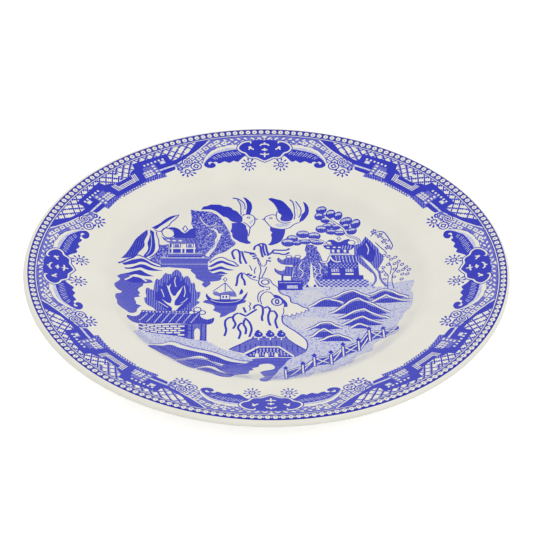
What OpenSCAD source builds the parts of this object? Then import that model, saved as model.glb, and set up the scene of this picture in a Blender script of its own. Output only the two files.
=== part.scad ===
// China dinner plate, 10.5 inch hotel-ware shape with a thick rolled edge.
// The clay body is a solid of revolution. A clear glaze covers it everywhere but the
// bare ring it stands on. Three thin transfer prints lie between the clay and the glaze:
// the centre scene, the wide border and the beaded line at the edge.
// The origin is the centre of the standing plane, +Z is up, and all sizes are millimetres.

/* [Plate] */
// outer diameter over the glazed edge
plate_d = 266.7; // [255:0.1:280]
// height of the edge's top above the table
plate_h = 26; // [25:0.1:29]
// thickness of the rolled edge, glaze included
edge_t = 5.4; // [4.6:0.1:6]

/* [Well and rim] */
// radius of the flat floor of the well
floor_r = 66; // [62:0.5:69]
// height of the glazed floor above the table
floor_z = 6.6; // [6:0.1:7.4]
// radius of the hollow corner between the floor and the well's wall
cove_r = 30; // [24:0.5:34]
// radius of the rounded shoulder between the well's wall and the rim
shoulder_r = 22; // [16:0.5:26]
// steepness of the well's wall, in degrees
wall_slope = 33; // [31:0.5:37]
// rise of the rim's face towards the edge, in degrees
rim_slope = 13.5; // [12.5:0.1:14]

/* [Back and foot] */
// rise of the rim's back towards the edge, in degrees
back_slope = 14.5; // [14:0.1:15.5]
// rise of the back of the well's wall, in degrees
back_wall_slope = 27; // [25:0.5:29]
// hollow radius under the shoulder
back_r = 16; // [10:0.5:20]
// outer diameter of the ring that touches the table
foot_d = 152; // [149:0.5:154]
// width of the ring that touches the table
foot_w = 3.4; // [2.5:0.1:4.5]
// height of the hollow inside the foot ring
foot_h = 2; // [1.5:0.1:2.4]

/* [Glaze] */
// thickness of the glaze
glaze_t = 0.35; // [0.3:0.05:0.5]
// height at which the glaze stops above the bare standing ring
bare_h = 0.8; // [0.6:0.1:1]

/* [Transfer prints] */
// thickness of the printed layers
print_t = 0.08; // [0.06:0.01:0.12]
// outer radius of the centre scene
scene_r = 88; // [84:0.5:90]
// inner radius of the wide border
border_in_r = 95; // [93:0.5:97]
// radius of the line where the wide border meets the beaded line
border_out_r = 126.7; // [125:0.1:127]
// outer radius of the beaded line, 2 mm inside the plate's outline
bead_out_r = 131.3; // [129:0.1:131.4]

/* [Hidden] */
$fn = 120;
// radius of the clay at the rolled edge, and the centre of its rounding
edge_r = edge_t / 2 - glaze_t;
edge_c = [plate_d / 2 - edge_t / 2, plate_h - edge_t / 2];
// clay surface of the floor
clay_z = floor_z - glaze_t;
// centre of the hollow corner
cove_c = [floor_r, clay_z + cove_r];
// the rim's clay line crosses the edge centre's radius at this height
rim_z = edge_c[1] + edge_r / cos(rim_slope);
// length of straight wall that joins the cove to the shoulder at the right height
cove_rise = cove_r * (1 - cos(wall_slope));
cove_run = cove_r * sin(wall_slope);
turn_rise = shoulder_r * (cos(rim_slope) - cos(wall_slope));
turn_run = shoulder_r * (sin(wall_slope) - sin(rim_slope));
rim_run = edge_c[0] - floor_r - cove_run - turn_run;
wall_need = rim_z - clay_z - cove_rise - turn_rise - tan(rim_slope) * rim_run;
wall_len = wall_need / (sin(wall_slope) - tan(rim_slope) * cos(wall_slope));
// where the cove ends, where the shoulder starts and where the rim's straight face starts
cove_end = [floor_r + cove_run, clay_z + cove_rise];
turn_start = cove_end + wall_len * [cos(wall_slope), sin(wall_slope)];
turn_c = turn_start + shoulder_r * [sin(wall_slope), -cos(wall_slope)];
rim_start_r = turn_c[0] - shoulder_r * sin(rim_slope);
// directions of the lines of the back, and the slope of the foot ring's sides
foot_slope = 76;
foot_r = foot_d / 2;
foot_in_r = foot_r - foot_w;
// the foot's outer side meets the back of the wall at this height
foot_side_z = 2.6;
foot_corner_r = 1.6;
recess_corner_r = 1.4;
// steps along a rounded stretch
steps = 10;
// smallest distance kept between two points of an outline
tiny = 0.01;

// height of the face at radius r, offset outwards from the clay by d
function face_z(r, d) =
    r <= floor_r ? clay_z + d :
    r <= floor_r + (cove_r - d) * sin(wall_slope) ?
        cove_c[1] - sqrt(pow(cove_r - d, 2) - pow(r - cove_c[0], 2)) :
    r <= turn_start[0] - d * sin(wall_slope) ?
        cove_end[1] + d / cos(wall_slope) + (r - cove_end[0]) * tan(wall_slope) :
    r <= turn_c[0] - (shoulder_r + d) * sin(rim_slope) ?
        turn_c[1] + sqrt(pow(shoulder_r + d, 2) - pow(r - turn_c[0], 2)) :
    rim_z + d / cos(rim_slope) + (r - edge_c[0]) * tan(rim_slope);

// radii at which the face is sampled, from the floor's edge to the rim's face
face_radii = concat(
    [for (i = [0 : steps]) cove_c[0] + cove_r * sin(wall_slope * i / steps)],
    [for (i = [0 : steps])
        turn_c[0] - shoulder_r * sin(wall_slope + (rim_slope - wall_slope) * i / steps)]
);

// points of the face between radii a and b at offset d
function face_line(a, b, d) = concat(
    [[a, face_z(a, d)]],
    [for (r = face_radii) if (r > a + tiny && r < b - tiny) [r, face_z(r, d)]],
    [[b, face_z(b, d)]]
);

function reversed(p) = [for (i = [len(p) - 1 : -1 : 0]) p[i]];

// an arc about c from angle a0 to a1
function arc(c, r, a0, a1, n) =
    [for (i = [0 : n]) let (a = a0 + (a1 - a0) * i / n) c + r * [cos(a), sin(a)]];

// crossing of the line through p at angle a with the line through q at angle b
function meet(p, a, q, b) =
    let (u = [cos(a), sin(a)], v = [cos(b), sin(b)], w = q - p)
    p + u * (w[0] * v[1] - w[1] * v[0]) / (u[0] * v[1] - u[1] * v[0]);

// the outline of a hollow corner at c between a line at angle a and one at angle b, radius r,
// followed from the first line to the second
function hollow(c, a, b, r) =
    let (m = (a + b) / 2 - 90, k = r / cos((b - a) / 2))
    arc(c + k * [cos(m), sin(m)], r, a + 90, b + 90, steps);

// the back's three lines at offset d: under the rim, under the wall, down the foot
function back_side(a, p, d) = p + d * [sin(a), -cos(a)];
back_edge_p = edge_c + edge_r * [sin(back_slope), -cos(back_slope)];
foot_p = [foot_r, 0];
foot_top_p = foot_p + foot_side_z * [1 / tan(foot_slope), 1];

function back_line(d) =
    let (
        p1 = back_side(back_slope, back_edge_p, d),
        p2 = back_side(back_wall_slope, foot_top_p, d),
        p3 = back_side(foot_slope, foot_p, d)
    )
    concat(
        hollow(meet(p1, back_slope, p2, back_wall_slope), back_slope, back_wall_slope, back_r - d),
        hollow(meet(p2, back_wall_slope, p3, foot_slope), back_wall_slope, foot_slope, foot_corner_r - d)
    );

// point of the foot's outer side at height z and offset d
function foot_out(z, d) = [foot_r + z / tan(foot_slope) + d / sin(foot_slope), z];

// point of the foot's inner side at height z and offset d
function foot_in(z, d) = [foot_in_r - z / tan(foot_slope) - d / sin(foot_slope), z];

// the hollow under the floor at offset d, from the foot's inner side to the axis
function recess_line(d) = concat(
    hollow(foot_in(foot_h - d, d), -foot_slope, 0, recess_corner_r - d),
    [[0, foot_h - d]]
);

// rolled edge at offset d, from the face round to the back
function edge_line(d) = arc(edge_c, edge_r + d, 90 + rim_slope, back_slope - 90, 2 * steps);

// radius at which the rolled edge starts on the face, at offset d
function edge_turn_r(d) = edge_c[0] - (edge_r + d) * sin(rim_slope);

// height of the upper half of the rolled edge at radius r and offset d
function edge_face_z(r, d) = edge_c[1] + sqrt(pow(edge_r + d, 2) - pow(r - edge_c[0], 2));

// points of the rolled edge at offset d that the beaded line covers
function edge_printed(d) = [for (p = edge_line(d)) if (p[0] < bead_out_r && p[1] > edge_c[1]) p];

// points of the rolled edge at offset d beyond the beaded line
function edge_bare(d) = [for (p = edge_line(d)) if (p[0] > bead_out_r || p[1] < edge_c[1]) p];

// points of a line inside radius r
function within(line, r) = [for (p = line) if (p[0] < r) p];

// fired clay body
module body() {
    color([0.91, 0.89, 0.84])
    rotate_extrude()
    polygon(concat(
        [[0, clay_z]],
        face_line(floor_r, rim_start_r, 0),
        edge_line(0),
        back_line(0),
        [foot_p, [foot_in_r, 0]],
        recess_line(0)
    ));
}

// glaze over the face, the edge and the back, down to just above the bare foot ring;
// its underside steps up over each print
module face_glaze() {
    color([0.93, 0.92, 0.86])
    rotate_extrude()
    polygon(concat(
        [[0, face_z(0, glaze_t)]],
        face_line(floor_r, rim_start_r, glaze_t),
        edge_line(glaze_t),
        back_line(glaze_t),
        [foot_out(bare_h, glaze_t), foot_out(bare_h, 0)],
        reversed(back_line(0)),
        reversed(edge_bare(0)),
        [[bead_out_r, edge_face_z(bead_out_r, 0)]],
        [[bead_out_r, edge_face_z(bead_out_r, print_t)]],
        reversed(edge_printed(print_t)),
        reversed(within(face_line(border_in_r, edge_turn_r(print_t), print_t), edge_turn_r(print_t))),
        [[border_in_r, face_z(border_in_r, 0)]],
        reversed(face_line(scene_r, border_in_r - 2 * tiny, 0)),
        reversed(face_line(floor_r, scene_r, print_t)),
        [[0, clay_z + print_t]]
    ));
}

// glaze in the hollow inside the foot ring
module recess_glaze() {
    color([0.93, 0.92, 0.86])
    rotate_extrude()
    polygon(concat(
        [foot_in(bare_h, glaze_t), foot_in(bare_h, 0)],
        recess_line(0),
        reversed(recess_line(glaze_t))
    ));
}

// printed centre scene
module centre_print() {
    color([0.45, 0.47, 0.78])
    rotate_extrude()
    polygon(concat(
        [[0, clay_z], [0, clay_z + print_t]],
        face_line(floor_r, scene_r, print_t),
        reversed(face_line(floor_r, scene_r, 0))
    ));
}

// printed wide border
module border_print() {
    color([0.25, 0.28, 0.72])
    rotate_extrude()
    polygon(concat(
        face_line(border_in_r, border_out_r, print_t),
        reversed(face_line(border_in_r, border_out_r, 0))
    ));
}

// printed beaded line round the edge
module edge_print() {
    color([0.16, 0.19, 0.65])
    rotate_extrude()
    polygon(concat(
        [[border_out_r, face_z(border_out_r, 0)], [border_out_r, face_z(border_out_r, print_t)]],
        edge_printed(print_t),
        [[bead_out_r, edge_face_z(bead_out_r, print_t)], [bead_out_r, edge_face_z(bead_out_r, 0)]],
        reversed(edge_printed(0))
    ));
}

body();
face_glaze();
recess_glaze();
centre_print();
border_print();
edge_print();
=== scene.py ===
# A china dinner plate, printed in cobalt blue under a clear glaze, built round its packed clay body.
# The glaze is turned on the plate's profile. Each transfer print is drawn flat in millimetres,
# repeated where its pattern repeats, and laid down on the glazed face.
import math

import bpy
import numpy as np
from mathutils import Matrix, Vector
from mathutils.geometry import delaunay_2d_cdt


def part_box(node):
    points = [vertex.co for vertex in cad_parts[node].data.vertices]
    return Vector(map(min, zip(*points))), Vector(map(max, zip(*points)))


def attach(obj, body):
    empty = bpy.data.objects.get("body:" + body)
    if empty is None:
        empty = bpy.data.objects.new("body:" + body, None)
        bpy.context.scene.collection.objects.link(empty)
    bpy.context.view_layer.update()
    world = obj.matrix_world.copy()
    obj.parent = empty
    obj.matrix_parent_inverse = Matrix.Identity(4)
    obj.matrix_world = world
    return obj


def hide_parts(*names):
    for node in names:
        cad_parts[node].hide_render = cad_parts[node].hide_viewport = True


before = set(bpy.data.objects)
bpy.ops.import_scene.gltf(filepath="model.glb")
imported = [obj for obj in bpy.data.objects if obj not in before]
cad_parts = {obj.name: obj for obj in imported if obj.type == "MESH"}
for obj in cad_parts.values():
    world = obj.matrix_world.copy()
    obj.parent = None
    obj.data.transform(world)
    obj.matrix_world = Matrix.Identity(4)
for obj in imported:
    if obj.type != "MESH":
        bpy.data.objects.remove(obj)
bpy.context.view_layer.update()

# ---------------------------------------------------------------- sizes, in millimetres
MM = 0.001
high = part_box("face_glaze")[1]
PLATE_R = high.x / MM
PLATE_H = high.z / MM
EDGE_T = 5.4
FLOOR_R = 66.0
FLOOR_Z = 6.6
COVE_R = 30.0
SHOULDER_R = 22.0
WALL_SLOPE = math.radians(33)
RIM_SLOPE = math.radians(13.5)
BACK_SLOPE = math.radians(14.5)
BACK_WALL_SLOPE = math.radians(27)
BACK_R = 16.0
FOOT_R = 76.0
FOOT_IN_R = FOOT_R - 3.4
FOOT_H = 2.0
FOOT_SLOPE = math.radians(76)
FOOT_SIDE_Z = 2.6
FOOT_CORNER_R = 1.6
RECESS_CORNER_R = 1.4
GLAZE_T = 0.35
BARE_H = 0.8
# the opaque coat stops this far short of the glaze's face, and the ink fills the gap
INK_T = 0.04
COAT_T = GLAZE_T - INK_T
# how far the ink's underside lies below the coat's face
INK_ROOT = 0.02
# the coat's inner side stands just off the clay
COAT_GAP = 0.02
# the transfers were laid this far off the plate's centre
PRINT_SHIFT = (0.46, -0.89)
# steps of a turned piece, and of a rounded stretch of its profile
TURNS = 360
ARC_STEPS = 14
# radii along the straight rim that get a turned line of their own
RIM_LINES = [110.0, 120.0]
# a fold sharper than this stays a crisp edge on a turned piece
CREASE = math.radians(40)
# points closer than this, in metres, are joined
WELD = 1e-6
# how far above the plate a laid transfer starts its fall, in metres
FALL = 0.1

EDGE_C = (PLATE_R - EDGE_T / 2, PLATE_H - EDGE_T / 2)
EDGE_R = EDGE_T / 2 - GLAZE_T
CLAY_Z = FLOOR_Z - GLAZE_T
RIM_Z = EDGE_C[1] + EDGE_R / math.cos(RIM_SLOPE)


# ---------------------------------------------------------------- the plate's profile
def wall_length():
    """Length of the straight wall that joins the hollow corner to the shoulder."""
    rise = COVE_R * (1 - math.cos(WALL_SLOPE))
    rise += SHOULDER_R * (math.cos(RIM_SLOPE) - math.cos(WALL_SLOPE))
    run = COVE_R * math.sin(WALL_SLOPE) + SHOULDER_R * (math.sin(WALL_SLOPE) - math.sin(RIM_SLOPE))
    need = RIM_Z - CLAY_Z - rise - math.tan(RIM_SLOPE) * (EDGE_C[0] - FLOOR_R - run)
    return need / (math.sin(WALL_SLOPE) - math.tan(RIM_SLOPE) * math.cos(WALL_SLOPE))


COVE_END = (FLOOR_R + COVE_R * math.sin(WALL_SLOPE), CLAY_Z + COVE_R * (1 - math.cos(WALL_SLOPE)))
TURN_START = (
    COVE_END[0] + wall_length() * math.cos(WALL_SLOPE),
    COVE_END[1] + wall_length() * math.sin(WALL_SLOPE),
)
TURN_C = (
    TURN_START[0] + SHOULDER_R * math.sin(WALL_SLOPE),
    TURN_START[1] - SHOULDER_R * math.cos(WALL_SLOPE),
)


def face_height(r, d):
    """Height of the face at radius r, a distance d out from the clay."""
    r = np.asarray(r, float)
    roll = EDGE_R + d
    cove = CLAY_Z + COVE_R - np.sqrt(np.maximum((COVE_R - d) ** 2 - (r - FLOOR_R) ** 2, 0))
    wall = COVE_END[1] + d / math.cos(WALL_SLOPE) + (r - COVE_END[0]) * math.tan(WALL_SLOPE)
    shoulder = TURN_C[1] + np.sqrt(np.maximum((SHOULDER_R + d) ** 2 - (r - TURN_C[0]) ** 2, 0))
    rim = RIM_Z + d / math.cos(RIM_SLOPE) + (r - EDGE_C[0]) * math.tan(RIM_SLOPE)
    edge = EDGE_C[1] + np.sqrt(np.maximum(roll ** 2 - (r - EDGE_C[0]) ** 2, 0))
    return np.select(
        [
            r <= FLOOR_R,
            r <= FLOOR_R + (COVE_R - d) * math.sin(WALL_SLOPE),
            r <= TURN_START[0] - d * math.sin(WALL_SLOPE),
            r <= TURN_C[0] - (SHOULDER_R + d) * math.sin(RIM_SLOPE),
            r <= EDGE_C[0] - roll * math.sin(RIM_SLOPE),
        ],
        [np.full(r.shape, CLAY_Z + d), cove, wall, shoulder, rim],
        edge,
    )


def arc(centre, radius, start, end, steps=ARC_STEPS):
    angles = np.linspace(start, end, steps + 1)
    return [(centre[0] + radius * math.cos(a), centre[1] + radius * math.sin(a)) for a in angles]


def face_line(d):
    """The face from the axis to where the rolled edge starts, at offset d."""
    cove = [FLOOR_R + (COVE_R - d) * math.sin(WALL_SLOPE * i / ARC_STEPS) for i in range(ARC_STEPS + 1)]
    turn = np.linspace(WALL_SLOPE, RIM_SLOPE, ARC_STEPS + 1)
    shoulder = [TURN_C[0] - (SHOULDER_R + d) * math.sin(a) for a in turn]
    radii = [0.0, FLOOR_R / 2] + cove + shoulder + RIM_LINES
    return [(r, float(face_height(r, d))) for r in radii]


def edge_line(d):
    return arc(EDGE_C, EDGE_R + d, math.pi / 2 + RIM_SLOPE, BACK_SLOPE - math.pi / 2, 2 * ARC_STEPS)


def meet(p, a, q, b):
    """Crossing of the line through p at angle a with the line through q at angle b."""
    u = (math.cos(a), math.sin(a))
    v = (math.cos(b), math.sin(b))
    w = (q[0] - p[0], q[1] - p[1])
    k = (w[0] * v[1] - w[1] * v[0]) / (u[0] * v[1] - u[1] * v[0])
    return (p[0] + u[0] * k, p[1] + u[1] * k)


def hollow(corner, a, b, radius):
    """A hollow corner between a line at angle a and one at angle b."""
    m = (a + b) / 2 - math.pi / 2
    k = radius / math.cos((b - a) / 2)
    centre = (corner[0] + k * math.cos(m), corner[1] + k * math.sin(m))
    return arc(centre, radius, a + math.pi / 2, b + math.pi / 2)


def back_line(d):
    """The back at offset d: under the rim, under the wall, and down the foot's outer side."""
    def side(angle, p):
        return (p[0] + d * math.sin(angle), p[1] - d * math.cos(angle))

    under_rim = side(BACK_SLOPE, (
        EDGE_C[0] + EDGE_R * math.sin(BACK_SLOPE), EDGE_C[1] - EDGE_R * math.cos(BACK_SLOPE)))
    foot_top = (FOOT_R + FOOT_SIDE_Z / math.tan(FOOT_SLOPE), FOOT_SIDE_Z)
    under_wall = side(BACK_WALL_SLOPE, foot_top)
    foot_side = side(FOOT_SLOPE, (FOOT_R, 0))
    rim_corner = meet(under_rim, BACK_SLOPE, under_wall, BACK_WALL_SLOPE)
    foot_corner = meet(under_wall, BACK_WALL_SLOPE, foot_side, FOOT_SLOPE)
    return (
        hollow(rim_corner, BACK_SLOPE, BACK_WALL_SLOPE, BACK_R - d)
        + hollow(foot_corner, BACK_WALL_SLOPE, FOOT_SLOPE, FOOT_CORNER_R - d)
    )


def foot_out(z, d):
    return (FOOT_R + z / math.tan(FOOT_SLOPE) + d / math.sin(FOOT_SLOPE), z)


def foot_in(z, d):
    return (FOOT_IN_R - z / math.tan(FOOT_SLOPE) - d / math.sin(FOOT_SLOPE), z)


def recess_line(d):
    """The hollow under the floor at offset d, from the foot's inner side to the axis."""
    corner = hollow(foot_in(FOOT_H - d, d), -FOOT_SLOPE, 0, RECESS_CORNER_R - d)
    return corner + [(FOOT_IN_R / 2, FOOT_H - d), (0.0, FOOT_H - d)]


def face_profile():
    outer = face_line(COAT_T) + edge_line(COAT_T) + back_line(COAT_T) + [foot_out(BARE_H, COAT_T)]
    inner = face_line(COAT_GAP) + edge_line(COAT_GAP) + back_line(COAT_GAP) + [foot_out(BARE_H, COAT_GAP)]
    return outer + inner[::-1]


def recess_profile():
    outer = [foot_in(BARE_H, COAT_T)] + recess_line(COAT_T)
    inner = [foot_in(BARE_H, COAT_GAP)] + recess_line(COAT_GAP)
    return outer[::-1] + inner


# ---------------------------------------------------------------- node trees
def new_tree(name, kind, inputs, outputs):
    """An empty tree, with the sockets that bring its inputs in and take its results out."""
    tree = bpy.data.node_groups.new(name, kind)
    for label, socket, value in inputs:
        item = tree.interface.new_socket(name=label, in_out="INPUT", socket_type=socket)
        if value is not None:
            item.default_value = value
    for label, socket in outputs:
        tree.interface.new_socket(name=label, in_out="OUTPUT", socket_type=socket)
    return tree, tree.nodes.new("NodeGroupInput").outputs, tree.nodes.new("NodeGroupOutput").inputs


def feed(tree, node, inputs):
    """Links or sets a node's inputs by name or number."""
    for key, value in inputs.items():
        if isinstance(value, bpy.types.NodeSocket):
            tree.links.new(value, node.inputs[key])
        else:
            node.inputs[key].default_value = value


def add(tree, kind, inputs=None, **settings):
    """A node with its settings and its inputs."""
    node = tree.nodes.new(kind)
    for key, value in settings.items():
        setattr(node, key, value)
    feed(tree, node, inputs or {})
    return node


def maths(tree, operation, *values):
    return add(tree, "ShaderNodeMath", dict(enumerate(values)), operation=operation).outputs[0]


def run_tree(obj, tree, values):
    """Runs a geometry tree on an object and returns the result as a plain mesh object."""
    modifier = obj.modifiers.new(tree.name, "NODES")
    modifier.node_group = tree
    for item in tree.interface.items_tree:
        if item.in_out == "INPUT" and item.name in values:
            modifier[item.identifier] = values[item.name]
    view = bpy.context.evaluated_depsgraph_get()
    mesh = bpy.data.meshes.new_from_object(obj.evaluated_get(view))
    obj.modifiers.remove(modifier)
    return mesh


def new_object(name, mesh):
    mesh.name = name
    obj = bpy.data.objects.new(name, mesh)
    bpy.context.scene.collection.objects.link(obj)
    return obj


def turning_tree():
    """Turns an open or closed profile, given in order in the XZ plane, about the Z axis."""
    tree, given, result = new_tree(
        "turned_coat", "GeometryNodeTree",
        [
            ("Geometry", "NodeSocketGeometry", None),
            ("Turns", "NodeSocketInt", TURNS),
            ("Crease", "NodeSocketFloat", CREASE),
            ("Merge", "NodeSocketFloat", WELD),
            ("Finish", "NodeSocketMaterial", None),
        ],
        [("Geometry", "NodeSocketGeometry")],
    )
    size = add(tree, "GeometryNodeAttributeDomainSize", {"Geometry": given["Geometry"]})
    columns = maths(tree, "ADD", given["Turns"], 1.0)
    grid = add(
        tree, "GeometryNodeMeshGrid", {"Vertices X": size.outputs["Point Count"], "Vertices Y": columns})
    index = add(tree, "GeometryNodeInputIndex").outputs[0]
    step = maths(tree, "FLOOR", maths(tree, "DIVIDE", maths(tree, "ADD", index, 0.5), columns))
    turn = maths(tree, "SUBTRACT", index, maths(tree, "MULTIPLY", step, columns))
    angle = maths(tree, "DIVIDE", maths(tree, "MULTIPLY", turn, 2 * math.pi), given["Turns"])
    place = add(tree, "GeometryNodeInputPosition").outputs[0]
    sample = add(
        tree, "GeometryNodeSampleIndex",
        {"Geometry": given["Geometry"], "Value": place, "Index": step},
        data_type="FLOAT_VECTOR",
    )
    spun = add(
        tree, "ShaderNodeVectorRotate",
        {"Vector": sample.outputs["Value"], "Angle": angle}, rotation_type="Z_AXIS",
    )
    shell = add(
        tree, "GeometryNodeSetPosition",
        {"Geometry": grid.outputs["Mesh"], "Position": spun.outputs[0]},
    )
    closed = add(
        tree, "GeometryNodeMergeByDistance",
        {"Geometry": shell.outputs[0], "Distance": given["Merge"]},
    )
    fold = add(tree, "GeometryNodeInputMeshEdgeAngle").outputs["Unsigned Angle"]
    soft = maths(tree, "LESS_THAN", fold, given["Crease"])
    smooth = add(
        tree, "GeometryNodeSetShadeSmooth",
        {"Geometry": closed.outputs[0], "Shade Smooth": soft}, domain="EDGE",
    )
    real = add(tree, "GeometryNodeRealizeInstances", {"Geometry": smooth.outputs[0]})
    finish = add(
        tree, "GeometryNodeSetMaterial",
        {"Geometry": real.outputs[0], "Material": given["Finish"]},
    )
    tree.links.new(finish.outputs[0], result[0])
    return tree


def laying_tree(inks):
    """Repeats a flat transfer round the axis and lays it on the glazed face as a thin closed film."""
    tree, given, result = new_tree(
        "laid_transfer", "GeometryNodeTree",
        [
            ("Geometry", "NodeSocketGeometry", None),
            ("Copies", "NodeSocketInt", 1),
            ("Mirrored", "NodeSocketBool", False),
            ("Shift", "NodeSocketVector", (0, 0, 0)),
            ("Ink Height", "NodeSocketFloat", INK_T * MM),
            ("Ink Depth", "NodeSocketFloat", (INK_T + INK_ROOT) * MM),
            ("Drop", "NodeSocketFloat", FALL),
            ("Merge", "NodeSocketFloat", WELD),
            ("Glazed Face", "NodeSocketObject", None),
        ],
        [("Geometry", "NodeSocketGeometry")],
    )
    flipped = add(
        tree, "GeometryNodeTransform", {"Geometry": given["Geometry"], "Scale": (1, -1, 1)})
    facing = add(tree, "GeometryNodeFlipFaces", {"Mesh": flipped.outputs[0]})
    pair = add(tree, "GeometryNodeJoinGeometry")
    tree.links.new(given["Geometry"], pair.inputs[0])
    tree.links.new(facing.outputs[0], pair.inputs[0])
    tile = add(
        tree, "GeometryNodeSwitch",
        {"Switch": given["Mirrored"], "False": given["Geometry"], "True": pair.outputs[0]},
        input_type="GEOMETRY",
    )
    seats = add(tree, "GeometryNodeMeshLine", {"Count": given["Copies"], "Offset": (0, 0, 0)})
    index = add(tree, "GeometryNodeInputIndex").outputs[0]
    share = maths(tree, "DIVIDE", maths(tree, "MULTIPLY", index, 2 * math.pi), given["Copies"])
    spin = add(tree, "ShaderNodeCombineXYZ", {"Z": share})
    ring = add(
        tree, "GeometryNodeInstanceOnPoints",
        {"Points": seats.outputs[0], "Instance": tile.outputs[0], "Rotation": spin.outputs[0]},
    )
    flat = add(tree, "GeometryNodeRealizeInstances", {"Geometry": ring.outputs[0]})
    joined = add(
        tree, "GeometryNodeMergeByDistance",
        {"Geometry": flat.outputs[0], "Distance": given["Merge"]},
    )
    moved = add(
        tree, "GeometryNodeSetPosition",
        {"Geometry": joined.outputs[0], "Offset": given["Shift"]},
    )
    place = add(tree, "GeometryNodeInputPosition").outputs[0]
    above = add(tree, "ShaderNodeCombineXYZ", {"Z": given["Drop"]})
    start = add(
        tree, "ShaderNodeVectorMath", {0: place, 1: above.outputs[0]}, operation="ADD")
    face = add(
        tree, "GeometryNodeObjectInfo",
        {"Object": given["Glazed Face"]}, transform_space="ORIGINAL",
    )
    ray = add(
        tree, "GeometryNodeRaycast",
        {
            "Target Geometry": face.outputs["Geometry"], "Source Position": start.outputs[0],
            "Ray Direction": (0, 0, -1), "Ray Length": 1.0,
        },
    )
    lift = add(tree, "ShaderNodeCombineXYZ", {"Z": given["Ink Height"]})
    top = add(
        tree, "GeometryNodeSetPosition",
        {"Geometry": moved.outputs[0], "Position": ray.outputs["Hit Position"], "Offset": lift.outputs[0]},
    )
    down = add(tree, "ShaderNodeCombineXYZ", {"Z": -1.0})
    wall = add(
        tree, "GeometryNodeExtrudeMesh",
        {
            "Mesh": top.outputs[0], "Offset": down.outputs[0],
            "Offset Scale": given["Ink Depth"], "Individual": False,
        },
        mode="FACES",
    )
    under = add(tree, "GeometryNodeFlipFaces", {"Mesh": wall.outputs[0]})
    both = add(tree, "GeometryNodeJoinGeometry")
    tree.links.new(under.outputs[0], both.inputs[0])
    tree.links.new(top.outputs[0], both.inputs[0])
    film = add(
        tree, "GeometryNodeMergeByDistance",
        {"Geometry": both.outputs[0], "Distance": given["Merge"]},
    )
    smooth = add(tree, "GeometryNodeSetShadeSmooth", {"Geometry": film.outputs[0], "Shade Smooth": True})
    last = add(tree, "GeometryNodeRealizeInstances", {"Geometry": smooth.outputs[0]}).outputs[0]
    number = add(tree, "GeometryNodeInputNamedAttribute", {"Name": "ink"}, data_type="INT")
    for ink, material in inks:
        here = add(
            tree, "FunctionNodeCompare",
            {2: number.outputs["Attribute"], 3: ink}, data_type="INT", operation="EQUAL",
        )
        last = add(
            tree, "GeometryNodeSetMaterial",
            {"Geometry": last, "Selection": here.outputs[0], "Material": material},
        ).outputs[0]
    tree.links.new(last, result[0])
    return tree


# ---------------------------------------------------------------- drawing a flat transfer
# cream means bare glaze: the ink before it is cut away
CREAM, SOLID, DARK, MID, LIGHT, PALE, WATER, LEAF, SCRIBBLE, DEEP, FERN = range(11)
# length of a step along a curved outline and round an oval, and the fewest sides of an oval
STEP = 1.0
OVAL_STEP = 0.8
FEWEST_SIDES = 6
# the turn past which a corner stays sharp
SHARP = math.radians(62)
# drawn points closer than this, in millimetres, become one
JOIN = 5e-3
# the least length that a direction is worked out from
LEAST = 1e-9


def flow(points, closed):
    """A smooth line through the given points, which keeps its sharp corners."""
    p = np.array(points, float).reshape(-1, 2)
    n = len(p)
    before, after = np.roll(p, 1, 0), np.roll(p, -1, 0)
    if not closed:
        before[0], after[-1] = p[0], p[-1]
    into, out = p - before, after - p
    turn = np.arctan2(
        into[:, 0] * out[:, 1] - into[:, 1] * out[:, 0], (into * out).sum(1))
    sharp = np.abs(turn) > SHARP
    if not closed:
        sharp[0] = sharp[-1] = True
    lean = after - before
    lean /= np.maximum(np.linalg.norm(lean, axis=1), LEAST)[:, None]
    line = []
    for i in range(n if closed else n - 1):
        j = (i + 1) % n
        chord = p[j] - p[i]
        gap = np.linalg.norm(chord)
        start = chord if sharp[i] else lean[i] * gap
        end = chord if sharp[j] else lean[j] * gap
        count = max(1, round(gap / STEP)) if not (sharp[i] and sharp[j]) else 1
        for k in range(count):
            t = k / count
            line.append(
                p[i] * (2 * t ** 3 - 3 * t ** 2 + 1) + start * (t ** 3 - 2 * t ** 2 + t)
                + p[j] * (3 * t ** 2 - 2 * t ** 3) + end * (t ** 3 - t ** 2))
    if not closed:
        line.append(p[-1])
    return np.array(line)


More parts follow.
